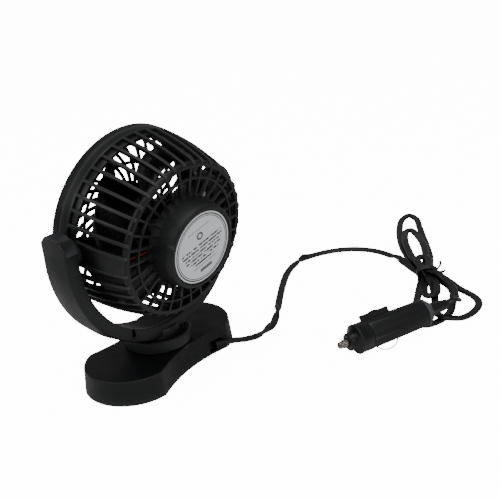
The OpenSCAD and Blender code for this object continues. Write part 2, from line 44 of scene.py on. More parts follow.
# The cord's route by stretches, which meet at the tie
LEAD_ROUTE = (
    (-34.2, 32.5, 6.6), (-41, 36.4, 5.5), (-50, 40.4, 2.9), (-60, 44.4, 1.7), (-70, 46.4, 1.7),
    (-79, 45.2, 1.7), (-88, 42, 1.7), (-99, 36.8, 1.7), (-110, 31.2, 1.7), (-121, 25.6, 1.7),
    (-132, 20.2, 1.7), (-143, 15, 1.7), (-155, 9.8, 1.7), (-167, 5.6, 1.7), (-180, 3.2, 1.7),
    (-193, 4, 1.7), (-204, 8, 1.7), (-214, 14.8, 1.7), (-222.5, 23.6, 1.7), (-228.5, 34, 1.7),
    (-231.4, 46, 1.7), (-231, 58, 1.7), (-227.6, 70, 1.7), (-222, 81, 1.7), (-214.6, 92, 1.7),
    (-206.5, 103, 1.7), (-201.2, 113.5, 1.7),
)
LARGE_ROUTE = (
    (-191, 122.4, 4.9), (-184, 128, 3.1), (-174, 134, 1.7), (-162, 140, 1.7), (-150, 146.4, 1.7),
    (-140, 151.4, 3.6), (-134, 157, 4.9), (-136, 164, 3.6), (-143, 170, 1.7), (-152, 173.6, 1.7),
    (-162.4, 174, 1.7), (-171, 171.6, 1.7), (-178, 166, 1.7), (-183.4, 158, 1.7),
    (-188, 149, 1.7), (-192.6, 141, 3.1), (-197, 131, 4.9), (-199, 124, 4.9),
)
MIDDLE_ROUTE = (
    (-197, 112.6, 1.7), (-191, 115.2, 1.7), (-173.4, 121.4, 1.7), (-156.6, 127.4, 1.7),
    (-143, 132, 1.7), (-130, 137, 1.7), (-121.4, 143.4, 1.7), (-122.4, 151, 1.7),
    (-130, 156, 1.7), (-140, 158.6, 1.7), (-150.4, 157.8, 1.7), (-160, 155, 1.7),
    (-170, 151.4, 1.7), (-180, 147, 1.7), (-188, 141, 1.7), (-194, 133, 1.7), (-197.6, 124, 1.7),
)
SMALL_ROUTE = (
    (-193, 118.6, 1.7), (-180, 123, 1.7), (-168, 129, 2.9), (-161.6, 135, 4.9),
    (-167, 138.4, 4.9), (-178, 134.6, 4.9), (-190, 127.4, 4.9), (-196, 121, 4.9),
)
TAIL_ROUTE = (
    (-137.4, 159.8, 13.6), (-144, 163.2, 15), (-151, 163.4, 11.4), (-157.6, 160.4, 7.9),
    (-164.6, 156, 5.2), (-173, 151.6, 5), (-183, 145, 5), (-190.4, 137, 5.2),
    (-195, 129, 8.1), (-198, 121.4, 8.3),
)
# Loops on the hank's side of the tie: along the hank, across it, up
OUTER_LOOP = (
    (6, -4, 3.1), (20, -4.6, 1.7), (40, -6.9, 1.7), (62, -7, 1.7), (85, -6.2, 1.7),
    (108, -5.7, 1.7), (128, -4.8, 1.7), (137.6, 0.6, 1.7), (129, 7.4, 1.7), (107, 12.1, 1.7),
    (84, 13.9, 1.7), (61, 13.5, 1.7), (39, 10.7, 1.7), (20, 8, 1.7), (6, 5.4, 1.7),
)
INNER_LOOP = (
    (6, -3.4, 3.1), (19, -1.6, 4.9), (39, -3.2, 4.9), (58, -3.6, 4.9), (76, -2.6, 3.3),
    (92, -0.8, 1.7), (102, 3, 1.7), (98.6, 7.4, 1.7), (88, 9, 3.1), (72, 10.6, 4.9),
    (52, 10, 4.9), (32, 7.9, 4.9), (18, 4.4, 4.9), (6, 1, 4.9),
)
THIRD_LOOP = (
    (5, -2, 8.1), (14, -3, 8.1), (22, -2.4, 8.1), (27, 1.6, 8.1), (22, 5.4, 8.1), (14, 5, 8.1),
    (5, 3, 8.1),
)


class Body(str, Enum):
    """CAD bodies that pieces ride on."""

    BASE = "base"
    YOKE = "yoke"
    HEAD = "head"
    FAN = "fan"


@dataclass(frozen=True)
class Finish:
    """One procedural finish.

    Colour is hex, edge is how far sharp edges are lightened, and grain is the noise scale
    of the bump, in cells per metre.
    """

    name: str
    colour: str
    roughness: float
    spread: float = 0.08
    specular: float = 0.4
    grain: float = 1800.0
    depth: float = 0.08
    mottle: float = 0.12
    metallic: float = 0.0
    edge: float = 0.0
    brushed: bool = False


class Finishes(Enum):
    """Every finish on the fan.

    The body and the grille are moulded ABS, near black with a fine spark-eroded grain that
    blurs the light. The blades and the plug's nose come from a polished mould and glint
    more. The cord is PVC, and the metals are zinc-plated steel, nickel plate and bronze.
    """

    BODY = Finish("body_plastic", "#0e0f11", 0.46, specular=0.26, depth=0.1, edge=0.25)
    GRILLE = Finish("grille_plastic", "#0c0d0f", 0.4, specular=0.28, depth=0.06, edge=0.3)
    GLOSS = Finish("gloss_plastic", "#0d0e10", 0.36, specular=0.3, depth=0.03, edge=0.2)
    BLADE = Finish("blade_plastic", "#0b0c0e", 0.3, specular=0.42, depth=0.03)
    GREY = Finish("grey_plastic", "#3c3e42", 0.42, depth=0.08, edge=0.15)
    CORD = Finish("cord_pvc", "#101012", 0.38, specular=0.42, grain=900, depth=0.08)
    TIE = Finish("tie_pvc", "#0f0f11", 0.3, specular=0.45, grain=1500, depth=0.05)
    RED = Finish("red_pvc", "#5e1512", 0.4)
    PAD = Finish("pad_foam", "#232324", 0.9, specular=0.2, grain=2600, depth=0.5)
    STEEL = Finish("zinc_steel", "#a9abae", 0.32, metallic=1.0, depth=0.05, brushed=True)
    NICKEL = Finish("nickel", "#7d7972", 0.24, metallic=1.0, depth=0.03)
    WIRE = Finish("contact_wire", "#34322f", 0.3, metallic=1.0, depth=0.02)
    BRONZE = Finish("bronze", "#9a753a", 0.4, metallic=1.0, grain=3200)


def linear(colour: str, alpha: float = 1.0) -> tuple[float, float, float, float]:
    """Turn an sRGB hex colour into linear light.

    Args:
        colour: six hex digits after a hash.
        alpha: opacity.

    Returns:
        Linear red, green and blue, and alpha.
    """
    levels = np.array([int(colour[i : i + 2], 16) for i in (1, 3, 5)]) / 255
    light = np.where(levels <= 0.04045, levels / 12.92, ((levels + 0.055) / 1.055) ** 2.4)
    return (*(float(x) for x in light), alpha)


# ---- Shapes ----


@dataclass
class Shape:
    """Points and faces gathered from parametric surfaces, in millimetres."""

    points: list[np.ndarray] = field(default_factory=list)
    faces: list[list[int]] = field(default_factory=list)
    count: int = 0

    def add_points(self, points: np.ndarray) -> int:
        """Add points.

        Args:
            points: an array of rows of three numbers.

        Returns:
            The index of the first.
        """
        flat = np.asarray(points, dtype=float).reshape(-1, 3)
        self.points.append(flat)
        self.count += len(flat)
        return self.count - len(flat)

    def grid(self, surface: np.ndarray, wrap: bool = False, caps: bool = False) -> Shape:
        """Add a surface given as rows of points.

        Args:
            surface: rows, columns and three numbers.
            wrap: whether the last column joins the first.
            caps: whether the first and the last row are closed with a face each.

        Returns:
            This shape.
        """
        rows, cols = surface.shape[:2]
        base = self.add_points(surface)
        index = base + np.arange(rows * cols).reshape(rows, cols)
        if wrap:
            index = np.hstack([index, index[:, :1]])
        quads = np.stack(
            [index[:-1, :-1], index[:-1, 1:], index[1:, 1:], index[1:, :-1]], axis=-1
        )
        self.faces.extend(quads.reshape(-1, 4).tolist())
        if caps:
            self.faces.append(index[0, :cols][::-1].tolist())
            self.faces.append(index[-1, :cols].tolist())
        return self

    def torus(self, surface: np.ndarray) -> Shape:
        """Add a surface that is closed both ways.

        Args:
            surface: rows, columns and three numbers.

        Returns:
            This shape.
        """
        return self.grid(np.concatenate([surface, surface[:1]]), wrap=True)

    def merged(self) -> np.ndarray:
        """Give every point, as one array of rows of three numbers."""
        return np.concatenate(self.points)


@dataclass(frozen=True)
class Place:
    """A right-handed frame: an origin and three axes as the columns of a matrix."""

    origin: np.ndarray
    axes: np.ndarray

    def put(self, points: np.ndarray) -> np.ndarray:
        """Carry an array of points from this frame to the row frame."""
        return np.asarray(points) @ self.axes.T + self.origin


def turn(axis: str, degrees: float) -> np.ndarray:
    """Make the 3 by 3 matrix of a turn about the axis X, Y or Z."""
    return np.array(Matrix.Rotation(math.radians(degrees), 3, axis))


HOME = Place(np.zeros(3), np.eye(3))


def revolve(profile: np.ndarray, steps: int = 96, axis: str = "y") -> np.ndarray:
    """Revolve a profile of radius and height.

    Args:
        profile: rows of radius and place along the axis.
        steps: columns around the axis.
        axis: the axis that the profile turns about.

    Returns:
        Rows of points, one row per profile point.
    """
    profile = np.asarray(profile, dtype=float)
    angle = np.linspace(0, 2 * np.pi, steps, endpoint=False)
    first = profile[:, :1] * np.cos(angle)
    second = profile[:, :1] * np.sin(angle)
    along = np.repeat(profile[:, 1:], steps, axis=1)
    order = {"x": (along, first, second), "y": (first, along, second), "z": (first, second, along)}
    return np.stack(order[axis], axis=-1)


def rounded(corners: list[tuple[float, float]], radius: float, steps: int = 5) -> np.ndarray:
    """Round the corners of a closed outline.

    Args:
        corners: the outline's corners.
        radius: how far from each corner the curve starts, at most.
        steps: points per corner.

    Returns:
        Rows of two numbers.
    """
    ring = np.asarray(corners, dtype=float)
    before = np.roll(ring, 1, axis=0) - ring
    after = np.roll(ring, -1, axis=0) - ring
    reach_before = np.linalg.norm(before, axis=1, keepdims=True)
    reach_after = np.linalg.norm(after, axis=1, keepdims=True)
    cut = np.minimum(radius, 0.45 * np.minimum(reach_before, reach_after))
    start = ring + before / reach_before * cut
    end = ring + after / reach_after * cut
    t = np.linspace(0, 1, steps)[None, :, None]
    curve = (1 - t) ** 2 * start[:, None] + 2 * t * (1 - t) * ring[:, None] + t**2 * end[:, None]
    return curve.reshape(-1, 2)


def box_section(width: float, height: float, radius: float) -> np.ndarray:
    """Make a rounded rectangle about the origin.

    Args:
        width: size across.
        height: size up.
        radius: corner radius.

    Returns:
        Rows of two numbers.
    """
    w, h = width / 2, height / 2
    return rounded([(-w, -h), (w, -h), (w, h), (-w, h)], radius, 4)


def sweep(
    section: np.ndarray,
    line: np.ndarray,
    side: np.ndarray,
    up: np.ndarray,
    size: np.ndarray | float = 1.0,
) -> np.ndarray:
    """Sweep a section along a line.

    Args:
        section: rows of across and up.
        line: the line's points.
        side: the across direction, one or one per point.
        up: the up direction, one or one per point.
        size: a factor on the section, one or one per point.

    Returns:
        Rows of points, one row per point of the line.
    """
    line = np.asarray(line, dtype=float)
    side = np.broadcast_to(side, line.shape)
    up = np.broadcast_to(up, line.shape)
    size = np.broadcast_to(size, len(line))[:, None, None]
    across = section[None, :, :1] * side[:, None]
    above = section[None, :, 1:] * up[:, None]
    return line[:, None] + size * (across + above)


def smooth_line(points: np.ndarray, step: float) -> np.ndarray:
    """Draw a smooth curve through points and space it evenly.

    Args:
        points: the points that the curve passes through.
        step: the distance between the points given back.

    Returns:
        Rows of three numbers.
    """
    knots = np.asarray(points, dtype=float)
    gaps = np.sqrt(np.linalg.norm(np.diff(knots, axis=0), axis=1))
    padded = np.vstack([2 * knots[0] - knots[1], knots, 2 * knots[-1] - knots[-2]])
    times = np.concatenate([[-gaps[0]], [0], np.cumsum(gaps), [np.sum(gaps) + gaps[-1]]])
    dense = np.linspace(times[1], times[-2], 40 * len(knots))
    i = np.clip(np.searchsorted(times, dense, side="right") - 1, 1, len(padded) - 3)
    t0, t1, t2, t3 = (times[i + k][:, None] for k in (-1, 0, 1, 2))
    p0, p1, p2, p3 = (padded[i + k] for k in (-1, 0, 1, 2))
    t = dense[:, None]
    a1 = (t1 - t) / (t1 - t0) * p0 + (t - t0) / (t1 - t0) * p1
    a2 = (t2 - t) / (t2 - t1) * p1 + (t - t1) / (t2 - t1) * p2
    a3 = (t3 - t) / (t3 - t2) * p2 + (t - t2) / (t3 - t2) * p3
    b1 = (t2 - t) / (t2 - t0) * a1 + (t - t0) / (t2 - t0) * a2
    b2 = (t3 - t) / (t3 - t1) * a2 + (t - t1) / (t3 - t1) * a3
    curve = (t2 - t) / (t2 - t1) * b1 + (t - t1) / (t2 - t1) * b2
    return even(curve, step)


def even(curve: np.ndarray, step: float) -> np.ndarray:
    """Space a curve's points evenly.

    Args:
        curve: the curve's points.
        step: the distance between the points given back.

    Returns:
        Rows of three numbers.
    """
    run = np.concatenate([[0], np.cumsum(np.linalg.norm(np.diff(curve, axis=0), axis=1))])
    places = np.linspace(0, run[-1], max(2, round(run[-1] / step)))
    return np.stack([np.interp(places, run, curve[:, k]) for k in range(3)], axis=1)


def directions(line: np.ndarray) -> np.ndarray:
    """Give the unit direction of a line at each point."""
    along = np.gradient(line, axis=0)
    return along / np.linalg.norm(along, axis=1, keepdims=True)


def at_height(ring: np.ndarray, z: float) -> np.ndarray:
    """Lift an outline of two numbers a row to a height."""
    return np.column_stack([ring, np.full(len(ring), z)])


def spoke(profile: np.ndarray, section: np.ndarray, degrees: float) -> np.ndarray:
    """Sweep a section along a line in a plane through the fan's axis.

    Args:
        profile: the line, as radius and y.
        section: across the plane and away from the axis.
        degrees: the plane's angle.

    Returns:
        Rows of points.
    """
    angle = math.radians(degrees)
    out = np.array([math.cos(angle), 0.0, math.sin(angle)])
    side = np.array([-math.sin(angle), 0.0, math.cos(angle)])
    line = profile[:, :1] * out + profile[:, 1:] * np.array([0.0, 1.0, 0.0])
    up = np.cross(directions(line), side)
    up *= np.sign(up @ (out + [0, 0.4, 0]))[:, None]
    return sweep(section, line, side, up)


# ---- Materials ----


def add_node(
    tree: bpy.types.NodeTree, kind: str, values: dict | None = None, **settings: object
) -> bpy.types.Node:
    """Add a shader node.

    Args:
        tree: the material's node tree.
        kind: the node's type name.
        values: input names or numbers, with a value or an output socket to link.
        settings: the node's own properties.

    Returns:
        The node.
    """
    node = tree.nodes.new(kind)
    for name, value in settings.items():
        setattr(node, name, value)
    for key, value in (values or {}).items():
        if isinstance(value, bpy.types.NodeSocket):
            tree.links.new(value, node.inputs[key])
        else:
            node.inputs[key].default_value = value
    return node


def empty_material(name: str) -> tuple[bpy.types.Material, bpy.types.NodeTree]:
    """Make a material with no nodes.

    Args:
        name: the material's name.

    Returns:
        The material and its node tree.
    """
    material = bpy.data.materials.new(name)
    material.use_nodes = True
    material.node_tree.nodes.clear()
    return material, material.node_tree


def build_finish(finish: Finish) -> bpy.types.Material:
    """Make a moulded or metal finish with grain, mottling and lighter edges.

    Args:
        finish: the finish's values.

    Returns:
        The material.
    """
    material, tree = empty_material(finish.name)
    coords = add_node(tree, "ShaderNodeTexCoord").outputs["Object"]
    if finish.brushed:
        stretched = add_node(tree, "ShaderNodeMapping", {"Vector": coords, "Scale": (1, 1, 0.06)})
        coords = stretched.outputs["Vector"]
    grain = add_node(
        tree, "ShaderNodeTexNoise", {"Vector": coords, "Scale": finish.grain, "Detail": 4.0}
    )
    mottle = add_node(tree, "ShaderNodeTexNoise", {"Vector": coords, "Scale": 55.0, "Detail": 5.0})
    tone = add_node(
        tree,
        "ShaderNodeMapRange",
        {0: mottle.outputs[0], 1: 0.3, 2: 0.7, 3: 1 - finish.mottle, 4: 1 + finish.mottle},
    )
    base = add_node(
        tree,
        "ShaderNodeVectorMath",
        {0: linear(finish.colour)[:3], "Scale": tone.outputs[0]},
        operation="SCALE",
    )
    colour = base.outputs["Vector"]
    if finish.edge:
        point = add_node(tree, "ShaderNodeNewGeometry").outputs["Pointiness"]
        worn = add_node(
            tree, "ShaderNodeMapRange", {0: point, 1: 0.51, 2: 0.6, 3: 0.0, 4: finish.edge}
        )
        mixed = add_node(
            tree,
            "ShaderNodeMix",
            {0: worn.outputs[0], 6: colour, 7: linear("#6a6c70")},
            data_type="RGBA",
        )
        colour = mixed.outputs[2]
    low, high = finish.roughness - finish.spread, finish.roughness + finish.spread
    rough = add_node(
        tree, "ShaderNodeMapRange", {0: mottle.outputs[0], 1: 0.3, 2: 0.7, 3: low, 4: high}
    )
    bump = add_node(
        tree,
        "ShaderNodeBump",
        {"Height": grain.outputs[0], "Strength": finish.depth, "Distance": 0.0004},
    )
    surface = add_node(
        tree,
        "ShaderNodeBsdfPrincipled",
        {
            "Base Color": colour,
            "Roughness": rough.outputs[0],
            "Metallic": finish.metallic,
            "Specular IOR Level": finish.specular,
            "Normal": bump.outputs[0],
        },
    )
    add_node(tree, "ShaderNodeOutputMaterial", {"Surface": surface.outputs[0]})
    return material


def build_label(head: Place, rim_y: float) -> bpy.types.Material:
    """Make the printed label: thin border rings and a few plain rules.

    Args:
        head: the head's frame.
        rim_y: the rim's place along the fan's axis.

    Returns:
        The material.
    """
    material, tree = empty_material("printed_label")
    coords = add_node(tree, "ShaderNodeTexCoord").outputs["Object"]
    centre = head.put(np.array([0.0, rim_y, 0.0])) * MM
    offset = add_node(
        tree, "ShaderNodeVectorMath", {0: coords, 1: tuple(centre)}, operation="SUBTRACT"
    ).outputs[0]
    axes = head.axes @ turn("Y", 14)

    def part(axis: int) -> bpy.types.NodeSocket:
        """Give how far a place is along one of the label's axes, in millimetres."""
        dot = add_node(
            tree,
            "ShaderNodeVectorMath",
            {0: offset, 1: tuple(axes[:, axis] / MM)},
            operation="DOT_PRODUCT",
        )
        return dot.outputs["Value"]

    def sums(operation: str, *values: bpy.types.NodeSocket | float) -> bpy.types.NodeSocket:
        """Give a sum of values or sockets."""
        return add_node(
            tree, "ShaderNodeMath", dict(enumerate(values)), operation=operation
        ).outputs[0]

    across, up = part(0), part(2)
    radius = sums("SQRT", sums("ADD", sums("MULTIPLY", across, across), sums("MULTIPLY", up, up)))

    def line(value: bpy.types.NodeSocket, at: float, half: float) -> bpy.types.NodeSocket:
        """Give 1 where a value is within half of at, and 0 elsewhere."""
        return sums("LESS_THAN", sums("ABSOLUTE", sums("SUBTRACT", value, at)), half)

    ink = sums("MAXIMUM", line(radius, 23.5, 0.42), line(radius, 22.2, 0.24))
    for height, half_width in ((3.4, 19), (0.8, 19), (-1.8, 18), (-4.4, 16.5), (-7, 14), (-9.6, 9)):
        ruled = sums("MULTIPLY", line(up, height, 0.62), line(across, 0, half_width))
        broken = add_node(
            tree, "ShaderNodeTexNoise", {"Vector": coords, "Scale": 620.0, "Detail": 1.0}
        ).outputs[0]
        ink = sums("MAXIMUM", ink, sums("MULTIPLY", ruled, sums("GREATER_THAN", broken, 0.44)))
    for height, half_width, half in ((-16.2, 5.5, 1.1), (-12.4, 11, 0.25), (15, 10, 0.25)):
        block = sums("MULTIPLY", line(up, height, half), line(across, 0, half_width))
        ink = sums("MAXIMUM", ink, sums("MULTIPLY", block, 0.85))
    high = sums("SUBTRACT", up, 9.6)
    dot = sums("SQRT", sums("ADD", sums("MULTIPLY", across, across), sums("MULTIPLY", high, high)))
    ink = sums("MAXIMUM", ink, sums("MULTIPLY", line(dot, 2.2, 0.7), 0.85))
    paper = add_node(tree, "ShaderNodeTexNoise", {"Vector": coords, "Scale": 300.0, "Detail": 3.0})
    tint = add_node(
        tree,
        "ShaderNodeMix",
        {0: paper.outputs[0], 6: linear("#dcdfe3"), 7: linear("#eceef0")},
        data_type="RGBA",
    )
    printed = add_node(
        tree,
        "ShaderNodeMix",
        {0: ink, 6: tint.outputs[2], 7: linear("#141619")},
        data_type="RGBA",
    )
    bump = add_node(
        tree, "ShaderNodeBump", {"Height": paper.outputs[0], "Strength": 0.05, "Distance": 0.0002}
    )
    surface = add_node(
        tree,
        "ShaderNodeBsdfPrincipled",
        {
            "Base Color": printed.outputs[2],
            "Roughness": 0.35,
            "Specular IOR Level": 0.4,
            "Normal": bump.outputs[0],
        },
    )
    add_node(tree, "ShaderNodeOutputMaterial", {"Surface": surface.outputs[0]})
    return material


def build_glass() -> bpy.types.Material:
    """Make the fuse's clear glass, faintly uneven.

    Returns:
        The material.
    """
    material, tree = empty_material("fuse_glass")
    coords = add_node(tree, "ShaderNodeTexCoord").outputs["Object"]
    ripple = add_node(tree, "ShaderNodeTexNoise", {"Vector": coords, "Scale": 200.0})
    bump = add_node(
        tree, "ShaderNodeBump", {"Height": ripple.outputs[0], "Strength": 0.1, "Distance": 0.0002}
    )
    surface = add_node(
        tree,
        "ShaderNodeBsdfPrincipled",
        {
            "Base Color": linear("#dfe3e0"),
            "Roughness": 0.05,
            "Transmission Weight": 0.9,
            "Normal": bump.outputs[0],
        },
    )
    add_node(tree, "ShaderNodeOutputMaterial", {"Surface": surface.outputs[0]})
    return material


# ---- The workshop: makes pieces ----


def make_object(name: str, shape: Shape, place: Place) -> bpy.types.Object:
    """Put a shape into a new object's mesh, in metres.

    Args:
        name: the object's name.
        shape: its points and faces in its own frame.
        place: that frame.

    Returns:
        The object.
    """
    mesh = bpy.data.meshes.new(name)
    mesh.from_pydata((place.put(shape.merged()) * MM).tolist(), [], shape.faces)
    obj = bpy.data.objects.new(name, mesh)
    bpy.context.scene.collection.objects.link(obj)
    return obj


def aim(obj: bpy.types.Object, place: tuple, axes: tuple) -> None:
    """Stand a camera or a light in the scene.

    Args:
        obj: the object, not yet linked.
        place: where it is, in metres.
        axes: its right, its up and its back.
    """
    matrix = Matrix(np.column_stack(axes).tolist()).to_4x4()
    matrix.translation = place
    obj.matrix_world = matrix
    bpy.context.scene.collection.objects.link(obj)


@dataclass
class Workshop:
    """Makes pieces with their finish and body."""

    materials: dict[str, bpy.types.Material] = field(default_factory=dict)

    def material(self, finish: Finishes) -> bpy.types.Material:
        """Give a finish's material, made once.

        Args:
            finish: the finish.

        Returns:
            The material.
        """
        name = finish.value.name
        if name not in self.materials:
            self.materials[name] = build_finish(finish.value)
        return self.materials[name]

    def piece(
        self,
        name: str,
        shape: Shape,
        place: Place,
        body: Body,
        finish: Finishes,
        nodes: tuple[str, ...] = (),
        slot: str = "",
        bevel: float = 0.0,
        angle: float = 35.0,
    ) -> bpy.types.Object:
        """Make one piece.

        Args:
            name: the piece's name.
            shape: its points and faces in its own frame.
            place: that frame.
            body: the CAD body that it rides on.
            finish: its finish.
            nodes: the CAD nodes that it replaces.
            slot: the record's material slot, where it isn't named as the finish is; not used.
            bevel: the width of a bevel on its sharp edges.
            angle: edges sharper than this, in degrees, stay sharp.

        Returns:
            The object.
        """
        obj = make_object(name, shape, place)
        obj.data.validate()
        bpy.context.view_layer.objects.active = obj
        if bevel:
            made = obj.modifiers.new("edges", "BEVEL")
            made.width = bevel * MM
            made.segments = 2
            made.limit_method = "ANGLE"
            made.angle_limit = math.radians(30)
            bake(obj)
        tidy_normals(obj.data)
        obj.data.shade_smooth()
        obj.data.set_sharp_from_angle(angle=math.radians(angle))
        dress(obj, self.material(finish))
        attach(obj, body.value)
        slot or finish.value.name
        if nodes:
            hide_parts(*nodes)
        log.info("%s: %d faces on %s", name, len(obj.data.polygons), body.value)
        return obj


def dress(obj: bpy.types.Object, material: bpy.types.Material) -> None:
    """Give an object one material in place of all it has."""
    obj.data.materials.clear()
    obj.data.materials.append(material)


def bake(obj: bpy.types.Object) -> None:
    """Apply an object's modifiers to its mesh.

    Args:
        obj: the object.
    """
    graph = bpy.context.evaluated_depsgraph_get()
    mesh = bpy.data.meshes.new_from_object(obj.evaluated_get(graph))
    obj.modifiers.clear()
    obj.data = mesh


def tidy_normals(mesh: bpy.types.Mesh) -> None:
    """Merge a mesh's doubles and turn every face outward.

    Args:
        mesh: the mesh.
    """
    work = bmesh.new()
    work.from_mesh(mesh)
    bmesh.ops.remove_doubles(work, verts=work.verts, dist=1e-6)
    bmesh.ops.recalc_face_normals(work, faces=work.faces)
    work.to_mesh(mesh)
    work.free()


def carve(obj: bpy.types.Object, place: Place, low: tuple, high: tuple) -> None:
    """Cut a box out of a piece.

    Args:
        obj: the piece.
        place: the box's frame.
        low: the box's low corner.
        high: the box's high corner.
    """
    (x0, y0, z0), (x1, y1, z1) = low, high
    ring = np.array([[x0, y0], [x0, y1], [x1, y1], [x1, y0]])
    rows = np.stack([at_height(ring, z) for z in (z0, z1)])
    cutter = make_object("cutter", Shape().grid(rows, wrap=True, caps=True), place)
    tidy_normals(cutter.data)
    made = obj.modifiers.new("cut", "BOOLEAN")
    made.object = cutter
    made.operation = "DIFFERENCE"
    made.solver = "EXACT"
    bake(obj)
    bpy.data.objects.remove(cutter)
    obj.data.set_sharp_from_angle(angle=math.radians(35))


# ---- Camera, light and floor ----


@dataclass
class Studio:
    """The camera, three soft lights, the pale floor and the surroundings.

    The camera's place is in millimetres and its angles in degrees. The sky lights things
    softly, and the sky and the floor are brighter to the camera alone, which makes them white.
    """

    camera_at: tuple[float, float, float] = (503.6, 445.5, 358.1)
    azimuth: float = 125.4
    elevation: float = 22.58
    roll: float = -5.88
    lens: float = 75.54
    sensor: float = 36.0
    sky_light: float = 0.26
    white: float = 16.0
    floor_glow: float = 14.0
    floor_half: float = 6000.0
    floor_z: float = -0.05

    def camera(self) -> None:
        """Make the camera and set it: back along its direction, then rolled about it."""
        azimuth, elevation, roll = map(math.radians, (self.azimuth, self.elevation, self.roll))
        flat = math.cos(elevation)
        back = np.array(
            [math.sin(azimuth) * flat, -math.cos(azimuth) * flat, math.sin(elevation)]
        )
        right = np.array([math.cos(azimuth), math.sin(azimuth), 0.0])
        up = np.cross(back, right)
        side = right * math.cos(roll) + up * math.sin(roll)
        top = up * math.cos(roll) - right * math.sin(roll)
        data = bpy.data.cameras.new("camera")
        data.lens = self.lens
        data.sensor_width = self.sensor
        data.dof.use_dof = False
        camera = bpy.data.objects.new("camera", data)
        aim(camera, tuple(x * MM for x in self.camera_at), (side, top, back))
        bpy.context.scene.camera = camera

    def light(self, name: str, place: tuple, size: float, power: float, target: tuple) -> None:
        """Make a soft square light.

        Args:
            name: the light's name.
            place: where it is, in metres.
            size: its side, in metres.
            power: its power, in watts.
            target: where it points, in metres.
        """
        data = bpy.data.lights.new(name, "AREA")
        data.size = size
        data.energy = power
        back = np.array(place) - np.array(target)
        back = back / np.linalg.norm(back)
        side = np.cross([0.0, 0.0, 1.0], back)
        side = side / np.linalg.norm(side)
        aim(bpy.data.objects.new(name, data), place, (side, np.cross(back, side), back))

    def stage(self) -> None:
        """Make the sky, the floor and the lights."""
        world = bpy.data.worlds.new("studio")
        world.use_nodes = True
        tree = world.node_tree
        tree.nodes.clear()
        power = self.seen(tree, self.sky_light, self.white)
        sky = add_node(tree, "ShaderNodeBackground", {"Color": (1, 1, 1, 1), "Strength": power})
        add_node(tree, "ShaderNodeOutputWorld", {"Surface": sky.outputs[0]})
        bpy.context.scene.world = world
        half, z = self.floor_half, self.floor_z
        corners = np.array([[[x, y, z] for x in (-half, half)] for y in (-half, half)])
        floor = make_object("floor", Shape().grid(corners), HOME)
        floor.data.materials.append(self.paper())
        self.light("top", (0.05, 0.15, 1.0), 0.9, 5.5, (-0.05, 0.05, 0.05))
        self.light("side", (0.75, -0.35, 0.65), 0.5, 2.6, (0.0, 0.0, 0.08))
        self.light("rear", (0.1, 1.0, 0.55), 0.6, 1.8, (0.0, 0.0, 0.1))

    def seen(
        self, tree: bpy.types.NodeTree, hidden: float, shown: float
    ) -> bpy.types.NodeSocket:
        """Give one value to camera rays and another to all the rest.

        Args:
            tree: the node tree.
            hidden: the value for rays that light things.
            shown: the value for the camera's rays.

        Returns:
            The value's socket.
        """
        ray = add_node(tree, "ShaderNodeLightPath").outputs["Is Camera Ray"]
        values = {0: ray, 1: 0.0, 2: 1.0, 3: hidden, 4: shown}
        return add_node(tree, "ShaderNodeMapRange", values).outputs[0]

    def paper(self) -> bpy.types.Material:
        """Make the floor's matt paper, a hair darker where its fibres are thin.

        Returns:
            The material.
        """
        material, tree = empty_material("floor_paper")
        coords = add_node(tree, "ShaderNodeTexCoord").outputs["Object"]
        fibre = add_node(tree, "ShaderNodeTexNoise", {"Vector": coords, "Scale": 12.0})
        tones = {0: fibre.outputs[0], 6: (0.93, 0.93, 0.93, 1), 7: (0.95, 0.95, 0.95, 1)}
        tone = add_node(tree, "ShaderNodeMix", tones, data_type="RGBA")
        surface = add_node(
            tree,
            "ShaderNodeBsdfPrincipled",
            {
                "Base Color": tone.outputs[2],
                "Roughness": 0.9,
                "Specular IOR Level": 0.1,
                "Emission Color": (1, 1, 1, 1),
                "Emission Strength": self.seen(tree, 0.0, self.floor_glow),
            },
        )
        add_node(tree, "ShaderNodeOutputMaterial", {"Surface": surface.outputs[0]})
        return material


# ---- Plug ----


